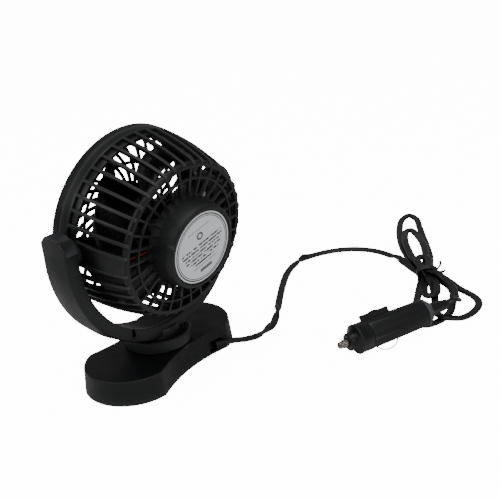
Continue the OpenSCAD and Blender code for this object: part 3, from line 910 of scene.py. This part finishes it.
@dataclass
class Plug:
    """The plug's shells over its CAD pin and contacts, with x from the pin's tip to the cord."""

    shop: Workshop
    at: tuple[float, float, float] = (-53.8, 115.4, 10.6)
    turned: float = 152.0
    pitch: float = 1.8
    nose_x: float = 8.0
    body_x: float = 25.0
    tail_x: float = 73.0
    collar_x: float = 79.0
    boot_x: float = 95.0
    contact_x: float = 37.0
    contact_roll: float = 50.0
    slot_half: float = 12.0
    seams: tuple[float, float] = (52.0, 232.0)

    def build(self) -> list[bpy.types.Object]:
        """Make the turned shells, the slots for the contacts, and the boot.

        Returns:
            The pieces.
        """
        place = Place(np.array(self.at), turn("Z", self.turned) @ turn("Y", -self.pitch))
        nose, body, tail, collar = self.nose_x, self.body_x, self.tail_x, self.collar_x
        shell = [
            (0.01, body), (9.9, body), (10.4, body + 0.5), (10.5, body + 2.4), (10.35, 46),
            (10.1, 60), (9.9, 70), (9.75, tail - 0.6), (9.3, tail), (0.01, tail),
        ]
        cap = [
            (3.3, nose + 2), (3.3, nose + 0.1), (5.4, nose), (6.4, nose + 0.6), (6.6, nose + 1.3),
            (6.3, nose + 2.6), (6.7, nose + 4), (7.8, nose + 5.2), (9.6, nose + 6.1),
            (10.95, nose + 6.7), (10.95, nose + 8), (10.7, nose + 8.6), (10.7, body - 1),
            (10.3, body - 0.2), (0.01, body - 0.1),
        ]
        ring = [
            (0.01, tail + 0.1), (9.6, tail + 0.1), (10, tail + 0.5), (10, tail + 2.2),
            (9.6, tail + 2.7), (7.3, collar - 0.3), (6.8, collar), (0.01, collar),
        ]
        made = []
        for name, finish, slot, node, profile in (
            ("plug_shell", Finishes.BODY, "body_plastic", "plug_body", shell),
            ("plug_cap", Finishes.GLOSS, "hard_plastic", "plug_nose", cap),
            ("plug_ring", Finishes.GREY, "grey_plastic", "plug_collar", ring),
        ):
            shape = Shape().grid(revolve(np.array(profile), 72, "x"), wrap=True)
            if node == "plug_body":
                self.add_seams(shape)
            made.append(
                self.shop.piece(name, shape, place, Body.BASE, finish, (node,), slot, bevel=0.12)
            )
        rolled = Place(place.origin, place.axes @ turn("X", self.contact_roll))
        near, far = self.contact_x - self.slot_half, self.contact_x + self.slot_half
        for low, high in ((3.6, 14.4), (-14.4, -3.6)):
            carve(made[0], rolled, (near, low, -0.8), (far, high, 0.8))
        made.append(self.boot(place))
        return made

    def add_seams(self, shape: Shape) -> None:
        """Add the two moulding seams, which follow the body's taper from end to end.

        Args:
            shape: the body's shape.
        """
        section = box_section(0.7, 0.9, 0.2)
        for angle in map(math.radians, self.seams):
            out = np.array([0.0, math.cos(angle), math.sin(angle)])
            xs = np.linspace(self.body_x + 6, self.tail_x - 1, 12)
            radius = np.interp(xs, [30, self.tail_x], [10.3, 9.6])
            line = np.column_stack([xs, radius * out[1], radius * out[2]])
            shape.grid(sweep(section, line, np.cross(out, [1.0, 0, 0]), out), wrap=True, caps=True)

    def boot(self, place: Place) -> bpy.types.Object:
        """Make the smooth strain relief, a cone that narrows a little slower to its end.

        Args:
            place: the plug's frame.

        Returns:
            The piece.
        """
        xs = np.linspace(self.collar_x, self.boot_x, 24)
        share = (xs - self.collar_x) / (self.boot_x - self.collar_x)
        profile = np.column_stack([5.7 - 2.1 * share**0.8, xs])
        closed = np.vstack([[0.01, self.collar_x], profile, [0.01, self.boot_x]])
        shape = Shape().grid(revolve(closed, 48, "x"), wrap=True)
        return self.shop.piece(
            "plug_relief", shape, place, Body.BASE, Finishes.CORD, ("plug_boot",), angle=50
        )


# ---- Cord ----


@dataclass
class Cord:
    """The flat twin cord from the gland to the plug, and the tie round its hank.

    Turnovers are the places on the table where the flat lead turns over.
    """

    shop: Workshop
    plug: Plug
    width: float = 6.0
    thick: float = 3.1
    length: float = 1420.0
    step: float = 1.4
    tie_at: tuple[float, float] = (-199.0, 117.0)
    tie_turn: float = 211.0
    turnovers: tuple = ((-70, 46), (-99, 37), (-193, 4), (-222, 81))
    turnover_run: float = 26.0
    plug_nodes: tuple[str, ...] = (
        "plug_pin", "pin_spring", "plug_fuse", "side_contact_left", "side_contact_right",
    )

    @property
    def hank(self) -> Place:
        """Give the tie's frame: x along the hank, y across it."""
        return Place(np.array([*self.tie_at, 0.0]), turn("Z", self.tie_turn))

    def route(self) -> np.ndarray:
        """Join the cord's stretches from the gland to the plug.

        Returns:
            The route's points.
        """
        stretches = (
            LEAD_ROUTE,
            SMALL_ROUTE,
            self.hank.put(OUTER_LOOP),
            MIDDLE_ROUTE,
            self.hank.put(INNER_LOOP),
            LARGE_ROUTE,
            self.hank.put(THIRD_LOOP),
            TAIL_ROUTE[::-1],
        )
        return np.concatenate([np.array(points, dtype=float) for points in stretches])

    def twist(self, line: np.ndarray) -> np.ndarray:
        """Turn the flat cord over, by a smooth half turn centred on each turnover.

        Args:
            line: the cord's centreline.

        Returns:
            The turn about the centreline at each point, in radians.
        """
        twist = np.zeros(len(line))
        run = np.arange(len(line)) * self.step
        lead = line[: len(line) // 3]
        for x, y in self.turnovers:
            nearest = np.argmin(np.hypot(lead[:, 0] - x, lead[:, 1] - y))
            t = np.clip((run - run[nearest]) / self.turnover_run + 0.5, 0, 1)
            twist += np.pi * t * t * (3 - 2 * t)
        return twist

    def section(self) -> np.ndarray:
        """Make the flat twin's section: two round lobes with a groove between.

        Returns:
            Rows of two numbers.
        """
        r = self.thick / 2
        angle = np.radians(np.linspace(-118, 118, 9))
        right = np.column_stack([self.width / 2 - r + r * np.cos(angle), r * np.sin(angle)])
        groove = np.array([[0.0, 0.68 * r]])
        return np.concatenate([right, groove, -right, -groove])

    def build(self) -> None:
        line = smooth_line(self.route(), self.step)
        turned = self.twist(line)
        line[:, 2] += (self.width - self.thick) / 2 * np.abs(np.sin(turned))
        along = directions(line)
        flat = np.cross(along, [0.0, 0.0, 1.0])
        flat /= np.linalg.norm(flat, axis=1, keepdims=True)
        up = np.cross(flat, along)
        twist = turned[:, None]
        side = flat * np.cos(twist) + up * np.sin(twist)
        top = up * np.cos(twist) - flat * np.sin(twist)
        shape = Shape().grid(sweep(self.section(), line, side, top), wrap=True, caps=True)
        nodes = (
            "cord_lead", "cord_hank", "cord_loop_large", "cord_loop_middle", "cord_loop_small",
            "cord_tail",
        )
        cord = self.shop.piece(
            "power_cord", shape, HOME, Body.BASE, Finishes.CORD, nodes, angle=60
        )
        length = float(np.sum(np.linalg.norm(np.diff(line, axis=0), axis=1)))
        log.info("cord length %.0f mm", length)
        tie = self.tie()
        inside = [bpy.data.objects[name] for name in self.plug_nodes if name in bpy.data.objects]
        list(self.plug.build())

    def tie(self) -> bpy.types.Object:
        """Make the wire tie: a flattened helix round the hank and two twisted ends.

        Returns:
            The piece.
        """
        turns, half_run, half_width, middle_z, half_height = 2.6, 2.6, 8.3, 5.8, 5.1
        steps = np.linspace(0, 1, 90)
        angle = 2 * np.pi * turns * steps
        flatten = np.sign(np.sin(angle)) * np.abs(np.sin(angle)) ** 0.8
        height = np.maximum(middle_z + half_height * flatten, 0.9)
        helix = np.column_stack(
            [2 * half_run * steps - half_run, half_width * np.cos(angle), height]
        )
        circle = np.linspace(0, 2 * np.pi, 8, endpoint=False)
        wire = np.column_stack([1.1 * np.cos(circle), 0.55 * np.sin(circle)])
        ends = (
            np.array([[-1, -7.4, 8], [1, -9.6, 9.6], [5, -11.4, 10.6], [8.6, -11.6, 11]]),
            np.array([[-2, -7.8, 6.5], [-4, -10, 7.4], [-7, -12.4, 9], [-9, -13, 10.4]]),
        )
        shape = Shape()
        for curve in (helix, *(smooth_line(end, 1.0) for end in ends)):
            along = directions(curve)
            side = np.cross(along, [1.0, 0.2, 0.1])
            side /= np.linalg.norm(side, axis=1, keepdims=True)
            shape.grid(sweep(wire, curve, np.cross(along, side), side), wrap=True, caps=True)
        return self.shop.piece(
            "wire_tie", shape, self.hank, Body.BASE, Finishes.TIE, ("cord_tie",), "cord_pvc",
            angle=60,
        )


# ---- Base ----


@dataclass
class Base:
    """The base's shell, its recesses and the cord's gland."""

    shop: Workshop
    lobe_r: float = 32.0
    height: float = BASE_H
    waist_depth: float = 6.5
    draft: float = 1.5
    pad_t: float = 1.0
    top_round: float = 1.0
    gland_at: tuple[float, float, float] = (-27.0, 28.6, 7.0)
    gland_turn: float = 76.0
    gland_out: float = 152.0
    sleeve: float = 8.4
    sleeve_drop: float = 0.4
    rib_pitch: float = 2.4

    def outline(self, grow: float, lobe_steps: int = 56, waist_steps: int = 33) -> np.ndarray:
        """Give the base's outline: two round ends, each with a hollow arc beside it.

        Args:
            grow: how far outside the top outline.
            lobe_steps: points on each round end.
            waist_steps: points on each waist.

        Returns:
            Rows of two numbers, anticlockwise from the near end's lower corner.
        """
        half = self.lobe_r * 1.2
        waist_r = (half**2 + self.waist_depth**2) / (2 * self.waist_depth)
        centre = self.lobe_r - self.waist_depth + waist_r
        lobe, scoop = self.lobe_r + grow, waist_r - grow
        reach = math.hypot(self.lobe_r, centre)
        along = (lobe**2 - scoop**2 + reach**2) / (2 * reach)
        off = math.sqrt(lobe**2 - along**2)
        unit = np.array([-self.lobe_r, centre]) / reach
        corner = np.array([self.lobe_r, 0]) + along * unit + off * np.array([unit[1], -unit[0]])
        lobe_end = math.atan2(corner[1], corner[0] - self.lobe_r)
        angle = np.linspace(-lobe_end, lobe_end, lobe_steps)
        end = np.column_stack([self.lobe_r + lobe * np.cos(angle), lobe * np.sin(angle)])
        start = math.atan2(corner[1] - centre, corner[0])
        bend = np.linspace(start, -math.pi - start, waist_steps)[1:-1]
        waist = np.column_stack([scoop * np.cos(bend), centre + scoop * np.sin(bend)])
        near = np.concatenate([end, waist])
        return np.concatenate([near, -near])

    def build(self) -> None:
        """Stack the outline at each level, and cut the recesses."""
        curve = np.linspace(0, np.pi / 2, 6)
        pad, draft, turn_r = self.pad_t, self.draft, self.top_round
        fillet_z = self.height - turn_r
        start = draft * (1 - fillet_z / self.height)
        levels = [(pad, draft - 0.5), (pad + 0.5, draft)]
        levels += [(z, np.interp(z, [pad, fillet_z], [draft, start])) for z in (6, 12)]
        levels += [
            (fillet_z + turn_r * math.sin(a), start - turn_r * (1 - math.cos(a))) for a in curve
        ]
        levels += [(self.height, -4.0)]
        rows = np.stack([at_height(self.outline(grow), z) for z, grow in levels])
        obj = self.shop.piece(
            "base_moulding", Shape().grid(rows, wrap=True, caps=True), HOME, Body.BASE,
            Finishes.BODY, ("base_shell",),
        )
        recess = Place(np.array(self.gland_at), turn("Z", self.gland_turn))
        carve(obj, recess, (-3.6, -5.6, -4.1), (6.0, 5.6, 4.3))
        carve(obj, HOME, (-7.8, -40.0, 5.1), (7.8, -23.5, 15.7))
        carve(obj, HOME, (-7.1, -7.1, -1.0), (7.1, 7.1, 30.0))
        self.gland(recess)

    def gland(self, recess: Place) -> None:
        """Make the cord gland: a plate in the recess and a ribbed sleeve that narrows outward.

        Args:
            recess: the recess's frame.
        """
        z = np.array([0, 0, 1.0])
        out = turn("Z", self.gland_out) @ np.array([1.0, 0, 0])
        steps = np.linspace(0, self.sleeve, 30)
        line = np.array(self.gland_at) + steps[:, None] * out
        line[:, 2] -= np.interp(steps, [0, self.sleeve], [0, self.sleeve_drop])
        ribs = 1 + 0.08 * np.sign(np.sin(steps * 2 * np.pi / self.rib_pitch))
        size = np.interp(steps, [0, self.sleeve], [1.15, 0.95]) * ribs
        sleeve = sweep(box_section(6.2, 5.0, 2.2), line, np.cross(out, z), z, size)
        rows = np.array([[-3.4, 0, 0], [-1.6, 0, 0]])
        plate = sweep(box_section(10.6, 7.6, 1.2), rows, np.array([0, 1.0, 0]), z)
        shape = Shape().grid(sleeve, wrap=True, caps=True)
        shape.grid(recess.put(plate), wrap=True, caps=True)
        self.shop.piece(
            "cord_sleeve", shape, HOME, Body.BASE, Finishes.CORD, ("cord_gland",), angle=50
        )


# ---- Turntable and yoke ----


@dataclass
class Yoke:
    """The turntable, and the C-shaped yoke with its round-topped arms."""

    shop: Workshop
    place: Place
    pivot: Place
    table_r: float = 24.0
    table_top: float = 28.0
    width: float = 25.0
    centre_z: float = 105.0
    arm_z: float = 114.5
    foot_r: float = 17.0
    foot_top: float = 33.0

    @property
    def depth(self) -> float:
        """Give how far the yoke stands behind the swivel's axis."""
        return float(np.hypot(self.pivot.origin[0], self.pivot.origin[1]))

    def piece(self, name: str, shape: Shape, nodes: tuple = (), **more: object) -> bpy.types.Object:
        """Make a piece of the yoke's body and finish."""
        place = more.pop("place", self.place)
        return self.shop.piece(name, shape, place, Body.YOKE, Finishes.BODY, nodes, **more)

    def build(self) -> None:
        """Make the turntable, the bow, the foot and the bosses."""
        self.turntable()
        self.bow()
        top, r = self.table_top, self.foot_r
        foot = np.array(
            [(0.01, top), (r, top), (r, top + 0.6), (r - 0.6, self.foot_top - 2),
             (r - 1, self.foot_top), (0.01, self.foot_top)]
        )
        self.piece("yoke_foot", Shape().grid(revolve(foot, 96, "z"), wrap=True))
        level = Place(self.pivot.origin, self.place.axes)
        profile = np.array([(4.1, 70.6), (4.1, 67.6), (7.6, 67.6), (8, 67.9), (8, 70.6)])
        for side, word in ((1, "right"), (-1, "left")):
            boss = Shape().torus(revolve(profile * [1, side], 64, "x"))
            self.piece(f"yoke_boss_{word}", boss, place=level)

    def turntable(self) -> None:
        """Make the turntable disc, turned from a profile with a groove near its rim."""
        low, top, r = BASE_H + 0.3, self.table_top, self.table_r
        outline = [
            (0.01, low), (r - 0.5, low), (r, low + 0.5), (r, top - 1.6), (r - 0.25, top - 0.75),
            (r - 0.8, top - 0.2), (r - 1.6, top), (20.2, top), (19.8, top - 0.3),
            (19.2, top - 0.3), (18.8, top), (0.01, top),
        ]
        shape = Shape().grid(revolve(np.array(outline), 128, "z"), wrap=True)
        shape.grid(revolve(np.array([(7, 12), (7, low + 0.1)]), 48, "z"), wrap=True)
        self.piece("turntable_disc", shape, ("turntable",))

    def sheet(self, radius: np.ndarray, ys: np.ndarray) -> np.ndarray:
        """Give one face of the bow: up each arm to its round top, and round below.

        Args:
            radius: the face's radius at each place across the bow.
            ys: those places.

        Returns:
            Rows of points.
        """
        top = self.arm_z + np.sqrt(np.maximum((self.width / 2) ** 2 - ys**2, 0))
        rise = np.linspace(1, 0, 9)[:-1, None]
        bow = np.linspace(0, np.pi, 113)[:, None]
        height = self.centre_z + rise * (top - self.centre_z)
        near = np.stack(np.broadcast_arrays(radius, ys, height), axis=-1)
        low = self.centre_z - np.sin(bow) * radius
        middle = np.stack(np.broadcast_arrays(np.cos(bow) * radius, ys, low), axis=-1)
        far = near[::-1] * np.array([-1, 1, 1])
        return np.concatenate([near, middle, far])

    def bow(self) -> None:
        """Make the bow from its inner and outer faces, and close its ends."""
        half = self.width / 2
        ys = np.array([-half, -half + 1, -half + 1.6, -6, 0, 6, 8.2, 9, half - 1, half])
        inner = np.interp(ys, [-half, -half + 1, 8.2, 9, half], [70.2, 69.2, 69.2, 68, 68])
        outer_ys = [-half, -half + 1.6, 0, half - 1, half]
        outer = np.interp(ys, outer_ys, [76.0, 77.2, 78.4, 77.3, 76.5])
        ring = np.concatenate([self.sheet(inner, ys), self.sheet(outer, ys)[:, ::-1]], axis=1)
        shape = Shape().grid(ring + [0, self.depth, 0], wrap=True)
        rows, cols = ring.shape[:2]
        k = np.arange(len(ys) - 1)
        for start in (0, (rows - 1) * cols):
            end = start + cols - 1
            quads = np.stack([start + k, start + k + 1, end - 1 - k, end - k], axis=-1)
            shape.faces.extend(quads.tolist())
        obj = self.piece("yoke_bow", shape, ("yoke",), bevel=0.45)
        slot = Place(self.place.put(np.array([33.0, self.depth + half, 42.3])), self.place.axes)
        carve(obj, slot, (-1.3, -6.0, -3.0), (1.3, 3.0, 3.0))


# ---- Head ----


@dataclass
class Head:
    """The rear cage, the motor's housing, the front grille and the label.

    y runs along the fan's axis from the tilt axis, to the rear.
    """

    shop: Workshop
    place: Place
    head_r: float = 63.6
    curve_r: float = 170.0
    curve_y: float = -16.0
    front_y: float = -20.0
    seam_y: float = -13.0
    band_y: float = -5.2
    shroud_r: float = 58.6
    shroud_y: float = 0.0
    ring_y: float = 40.0
    ring_r: float = 53.6
    mid_r: float = 42.8
    rim_r: float = 28.0
    rim_y: float = 55.4
    label_r: float = 25.0
    side_pitch: float = 360 / 39
    side_ribs: int = 10
    panel_half: float = 6.9
    rear_ribs: int = 30
    vanes: int = 30
    vane_r: float = 45.0

    def piece(self, name: str, shape: Shape, nodes: tuple = (), **more: object) -> bpy.types.Object:
        """Make a piece of the head's body, with the grille's finish unless told otherwise."""
        finish = more.pop("finish", Finishes.GRILLE)
        return self.shop.piece(name, shape, self.place, Body.HEAD, finish, nodes, **more)

    def wall_r(self, y: np.ndarray) -> np.ndarray:
        """Give the outer radius at places along the axis, a large arc's."""
        return self.head_r - self.curve_r + np.sqrt(self.curve_r**2 - (y - self.curve_y) ** 2)

    def build(self) -> None:
        """Make the head's pieces but the label."""
        self.rings()
        self.ribs()
        self.panels()
        self.housing()
        self.front()

    def rings(self) -> None:
        """Make the front band, the shroud in it, and the two rear rings."""
        ys = np.linspace(self.seam_y + 0.2, self.band_y, 5)
        wall = self.wall_r(ys)
        band = np.concatenate(
            [np.column_stack([wall, ys]), np.column_stack([wall - 2.6, ys])[::-1]]
        )
        r, y = self.ring_r, self.ring_y
        rear = [
            (r - 3.8, y - 4), (r + 0.4, y - 4), (r + 0.3, y - 1.4), (r - 1.2, y + 0.1),
            (r - 3.8, y + 0.1),
        ]
        shape = Shape().torus(revolve(band, 192))
        shape.torus(revolve(rounded(rear, 0.9), 192))
        shape.torus(revolve(box_section(1.8, 2.4, 0.6) + [self.mid_r, y - 0.4], 160))
        self.piece("cage_rings", shape, ("rear_cage",), bevel=0.2)
        low, outer = self.seam_y + 0.4, self.head_r - 2.3
        shroud = [
            (self.shroud_r, low), (outer, low), (outer, self.shroud_y),
            (self.shroud_r, self.shroud_y),
        ]
        # The shroud is grille plastic but takes the blades' darker finish: painted shade for the
        # shadow inside the band.
        shaded_shroud = Shape().torus(revolve(rounded(shroud, 0.6), 160))
        self.piece(
            "cage_shroud", shaded_shroud, finish=Finishes.BLADE, slot="grille_plastic", bevel=0.2
        )

    def ribs(self) -> None:
        """Make the ribs along the side and across the rear face, each a swept bar."""
        ys = np.linspace(self.band_y - 0.6, self.ring_y - 3, 26)
        ys = np.concatenate([[self.band_y - 2.2], ys])
        radius = self.wall_r(ys) - 1.55
        radius[0] -= 0.5
        r, y = self.ring_r, self.ring_y
        shoulder = np.array([[r - 0.7, y - 1.7], [r - 1.6, y - 1.2]])
        side_line = np.vstack([np.column_stack([radius, ys]), shoulder])
        near = np.arange(-(self.side_ribs - 1), self.side_ribs) * self.side_pitch
        side_angles = np.concatenate([90 + near, 270 + near])
        crown = y - 1.5 + 0.5 * np.sin(np.linspace(0, np.pi, 12))
        rear_line = np.column_stack([np.linspace(29.8, r - 1.4, 12), crown])
        rear_angles = np.arange(self.rear_ribs) * 360 / self.rear_ribs
        for name, line, section, angles in (
            ("cage_side_ribs", side_line, box_section(2.3, 3.1, 0.45), side_angles),
            ("cage_rear_ribs", rear_line, box_section(1.7, 2.8, 0.4), rear_angles),
        ):
            shape = Shape()
            for degrees in angles:
                shape.grid(spoke(line, section, degrees), wrap=True, caps=True)
            self.piece(name, shape, angle=50)

    def panels(self) -> None:
        """Make the solid panels by the pivots: two skins of the wall, with a boss on each."""
        ys = np.linspace(self.band_y - 1, self.ring_y - 1.5, 20)[:, None]
        spread = np.linspace(-self.panel_half - 0.4, self.panel_half + 0.4, 13)
        boss = np.array([(4, 58), (8.2, 58), (8.2, 65.7), (7.7, 66.2), (4, 66.2)])
        for turned, facing, word in ((0.0, 1, "right"), (180.0, -1, "left")):
            angle = np.radians(turned + spread)
            outer, inner = (
                np.stack(
                    np.broadcast_arrays(
                        (self.wall_r(ys) - inset) * np.cos(angle),
                        ys,
                        (self.wall_r(ys) - inset) * np.sin(angle),
                    ),
                    axis=-1,
                )
                for inset in (0.35, 2.4)
            )
            ring = np.concatenate([outer, inner[:, ::-1]], axis=1)
            shape = Shape().grid(ring, wrap=True, caps=True)
            shape.torus(revolve(boss * [1, facing], 64, "x"))
            self.piece(f"cage_panel_{word}", shape, bevel=0.25)

    def housing(self) -> None:
        """Make the motor's housing on the rear face, turned from a hollow profile."""
        r, top, label, y = self.rim_r, self.rim_y, self.label_r, self.ring_y
        outline = [
            (0.01, top - 0.9), (label + 0.6, top - 0.9), (label + 0.8, top - 0.3),
            (label + 1.2, top), (r - 0.5, top), (r + 0.3, top - 0.4), (r + 0.9, top - 1.5),
            (29.6, 50.4), (30.5, 43.4), (31.0, y + 0.9), (31.0, y - 3.8), (29.0, y - 3.8),
            (28.8, y + 0.6), (26.4, top - 3), (20, top - 3), (20, y - 11.6), (18, y - 12),
            (18, top - 3), (0.01, top - 3),
        ]
        shape = Shape().grid(revolve(np.array(outline), 160), wrap=True)
        self.piece("motor_housing", shape, finish=Finishes.BODY, bevel=0.2)

    def front(self) -> None:
        """Make the front grille: rim, lip, middle ring, cap, and vanes along an arc each."""
        r, y, seam = self.head_r, self.front_y, self.seam_y
        rim = [
            (r - 3, y + 0.4), (r - 1.4, y), (r - 0.2, y + 1.4), (r, seam - 0.4),
            (r - 0.5, seam - 0.1), (r - 3, seam - 0.1),
        ]
        disc = [(16.1, y - 1), (22.4, y - 0.6), (22.6, y + 2.5), (16.1, y + 2.5)]
        shape = Shape().torus(revolve(rounded(rim, 0.8), 192))
        shape.torus(revolve(box_section(2.0, 1.6, 0.4) + [36, y + 1.4], 128))
        shape.torus(revolve(box_section(7.6, 2.3, 0.5) + [r - 6.0, y + 1.4], 160))
        shape.torus(revolve(rounded(disc, 0.5), 96))
        for face in (y + 0.2, y + 2.4):
            shape.grid(revolve(np.array([(0.01, face), (16.4, face)]), 64), wrap=True)
        section = box_section(2.1, 2.0, 0.4)
        angle = np.radians(np.linspace(-64.7, -1.6, 16))
        across, up = 1.8 + self.vane_r * np.cos(angle), 40.6 + self.vane_r * np.sin(angle)
        line = np.column_stack([across, np.full(16, y + 1.4), -up])
        axis = np.array([0.0, 1.0, 0.0])
        for degrees in np.arange(self.vanes) * 360 / self.vanes:
            placed = line @ turn("Y", degrees).T
            side = np.cross(directions(placed), axis)
            shape.grid(sweep(section, placed, side, axis), wrap=True, caps=True)
        self.piece("front_guard", shape, ("front_grille",), angle=50)


@dataclass
class Impeller:
    """The hub, and twisted, cambered blades with round tips."""

    shop: Workshop
    place: Place
    blades: int = 5
    root_r: float = 16.2
    blade_r: float = 53.0
    phase: float = 45.0
    half_t: float = 0.6

    def build(self) -> None:
        """Make the hub, and the blades as grids of radius and chord.

        Each blade's half width grows outward and closes at the tip, its pitch falls
        outward, it lags a little, and it is bowed across the chord.
        """
        hub = np.array(
            [(0.01, -8), (8, -7.8), (12.5, -7.2), (15.4, -5.6), (16.8, -3), (17, -1), (17, 9),
             (15.4, 9), (15.4, -3), (5, -5), (5, 10), (1.6, 10), (1.6, 9)]
        )
        shape = Shape().grid(revolve(hub, 96), wrap=True)
        radii = np.linspace(self.root_r, self.blade_r, 18)[:, None]
        chord = np.linspace(-1, 1, 15)[None, :]
        share = (radii - self.root_r) / (self.blade_r - self.root_r)
        tip = np.sqrt(np.maximum(1 - np.clip((share - 0.8) / 0.22, 0, 1) ** 2, 0.02))
        half = (15.5 + 25 * share) * (0.45 + 0.55 * tip)
        pitch = np.radians(50 - 22 * share)
        lag = np.radians(12 * share**1.5)
        camber = 1.6 * (1 - chord**2) * (1 + 0.5 * share)
        axial = -half * chord * np.sin(pitch) * 0.62 + camber
        spin = half * chord * np.cos(pitch) / radii + lag
        front, back = (
            np.stack([radii * np.cos(spin), axial + offset, radii * np.sin(spin)], axis=-1)
            for offset in (self.half_t, -self.half_t)
        )
        ring = np.concatenate([front, back[:, ::-1]], axis=1)
        for degrees in self.phase + np.arange(self.blades) * 360 / self.blades:
            shape.grid(ring @ turn("Y", degrees).T, wrap=True, caps=True)
        self.shop.piece(
            "fan_blades", shape, self.place, Body.FAN, Finishes.BLADE, ("impeller",),
            "body_plastic", angle=40,
        )


# ---- CAD pieces that stay ----


def finish_cad(shop: Workshop, head: Head) -> None:
    """Give every CAD piece that still shows its finish, and the label its print.

    Args:
        shop: the workshop.
        head: the head.
    """
    slots = {finish.value.name: finish for finish in Finishes}
    slots |= {"hard_plastic": Finishes.GLOSS, "steel": Finishes.STEEL}
    glass = build_glass()
    for part in frame["record"]["subparts"]:
        node = part["node"]
        obj = bpy.data.objects.get(node)
        if obj is None or node == "rear_label":
            continue
        wire = node.startswith("side_contact")
        finish = Finishes.WIRE if wire else slots.get(part["material_slot"])
        dress(obj, shop.material(finish) if finish else glass)
    dress(bpy.data.objects["rear_label"], build_label(head.place, head.rim_y))


def main() -> None:
    """Make the whole scene."""
    logging.basicConfig(level=logging.INFO, format="%(message)s")
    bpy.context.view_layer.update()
    joints = {joint["name"]: joint for joint in frame["record"]["behaviour"]["joints"]}
    tilt, spin = (np.array(joints[name]["axis"], dtype=float) for name in ("tilt", "fan_spin"))
    pivot = np.array(joints["tilt"]["pos_m"], dtype=float) / MM
    tilted = Place(pivot, np.column_stack([tilt, spin, np.cross(tilt, spin)]))
    swung = Place(np.zeros(3), np.column_stack([tilt, np.cross([0, 0, 1], tilt), [0, 0, 1]]))
    shop = Workshop()
    studio = Studio()
    head = Head(shop, tilted)
    studio.camera()
    Cord(shop, Plug(shop)).build()
    studio.stage()
    Base(shop).build()
    Yoke(shop, swung, tilted).build()
    head.build()
    Impeller(shop, tilted).build()
    finish_cad(shop, head)


with open("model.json") as file:
    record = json.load(file)
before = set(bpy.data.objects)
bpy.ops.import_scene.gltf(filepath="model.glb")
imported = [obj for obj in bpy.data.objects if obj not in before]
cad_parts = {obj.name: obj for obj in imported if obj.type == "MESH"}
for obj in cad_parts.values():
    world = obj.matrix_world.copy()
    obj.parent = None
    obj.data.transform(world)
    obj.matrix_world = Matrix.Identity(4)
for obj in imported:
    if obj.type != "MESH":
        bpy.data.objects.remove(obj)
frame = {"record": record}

if __name__ == "__main__":
    main()
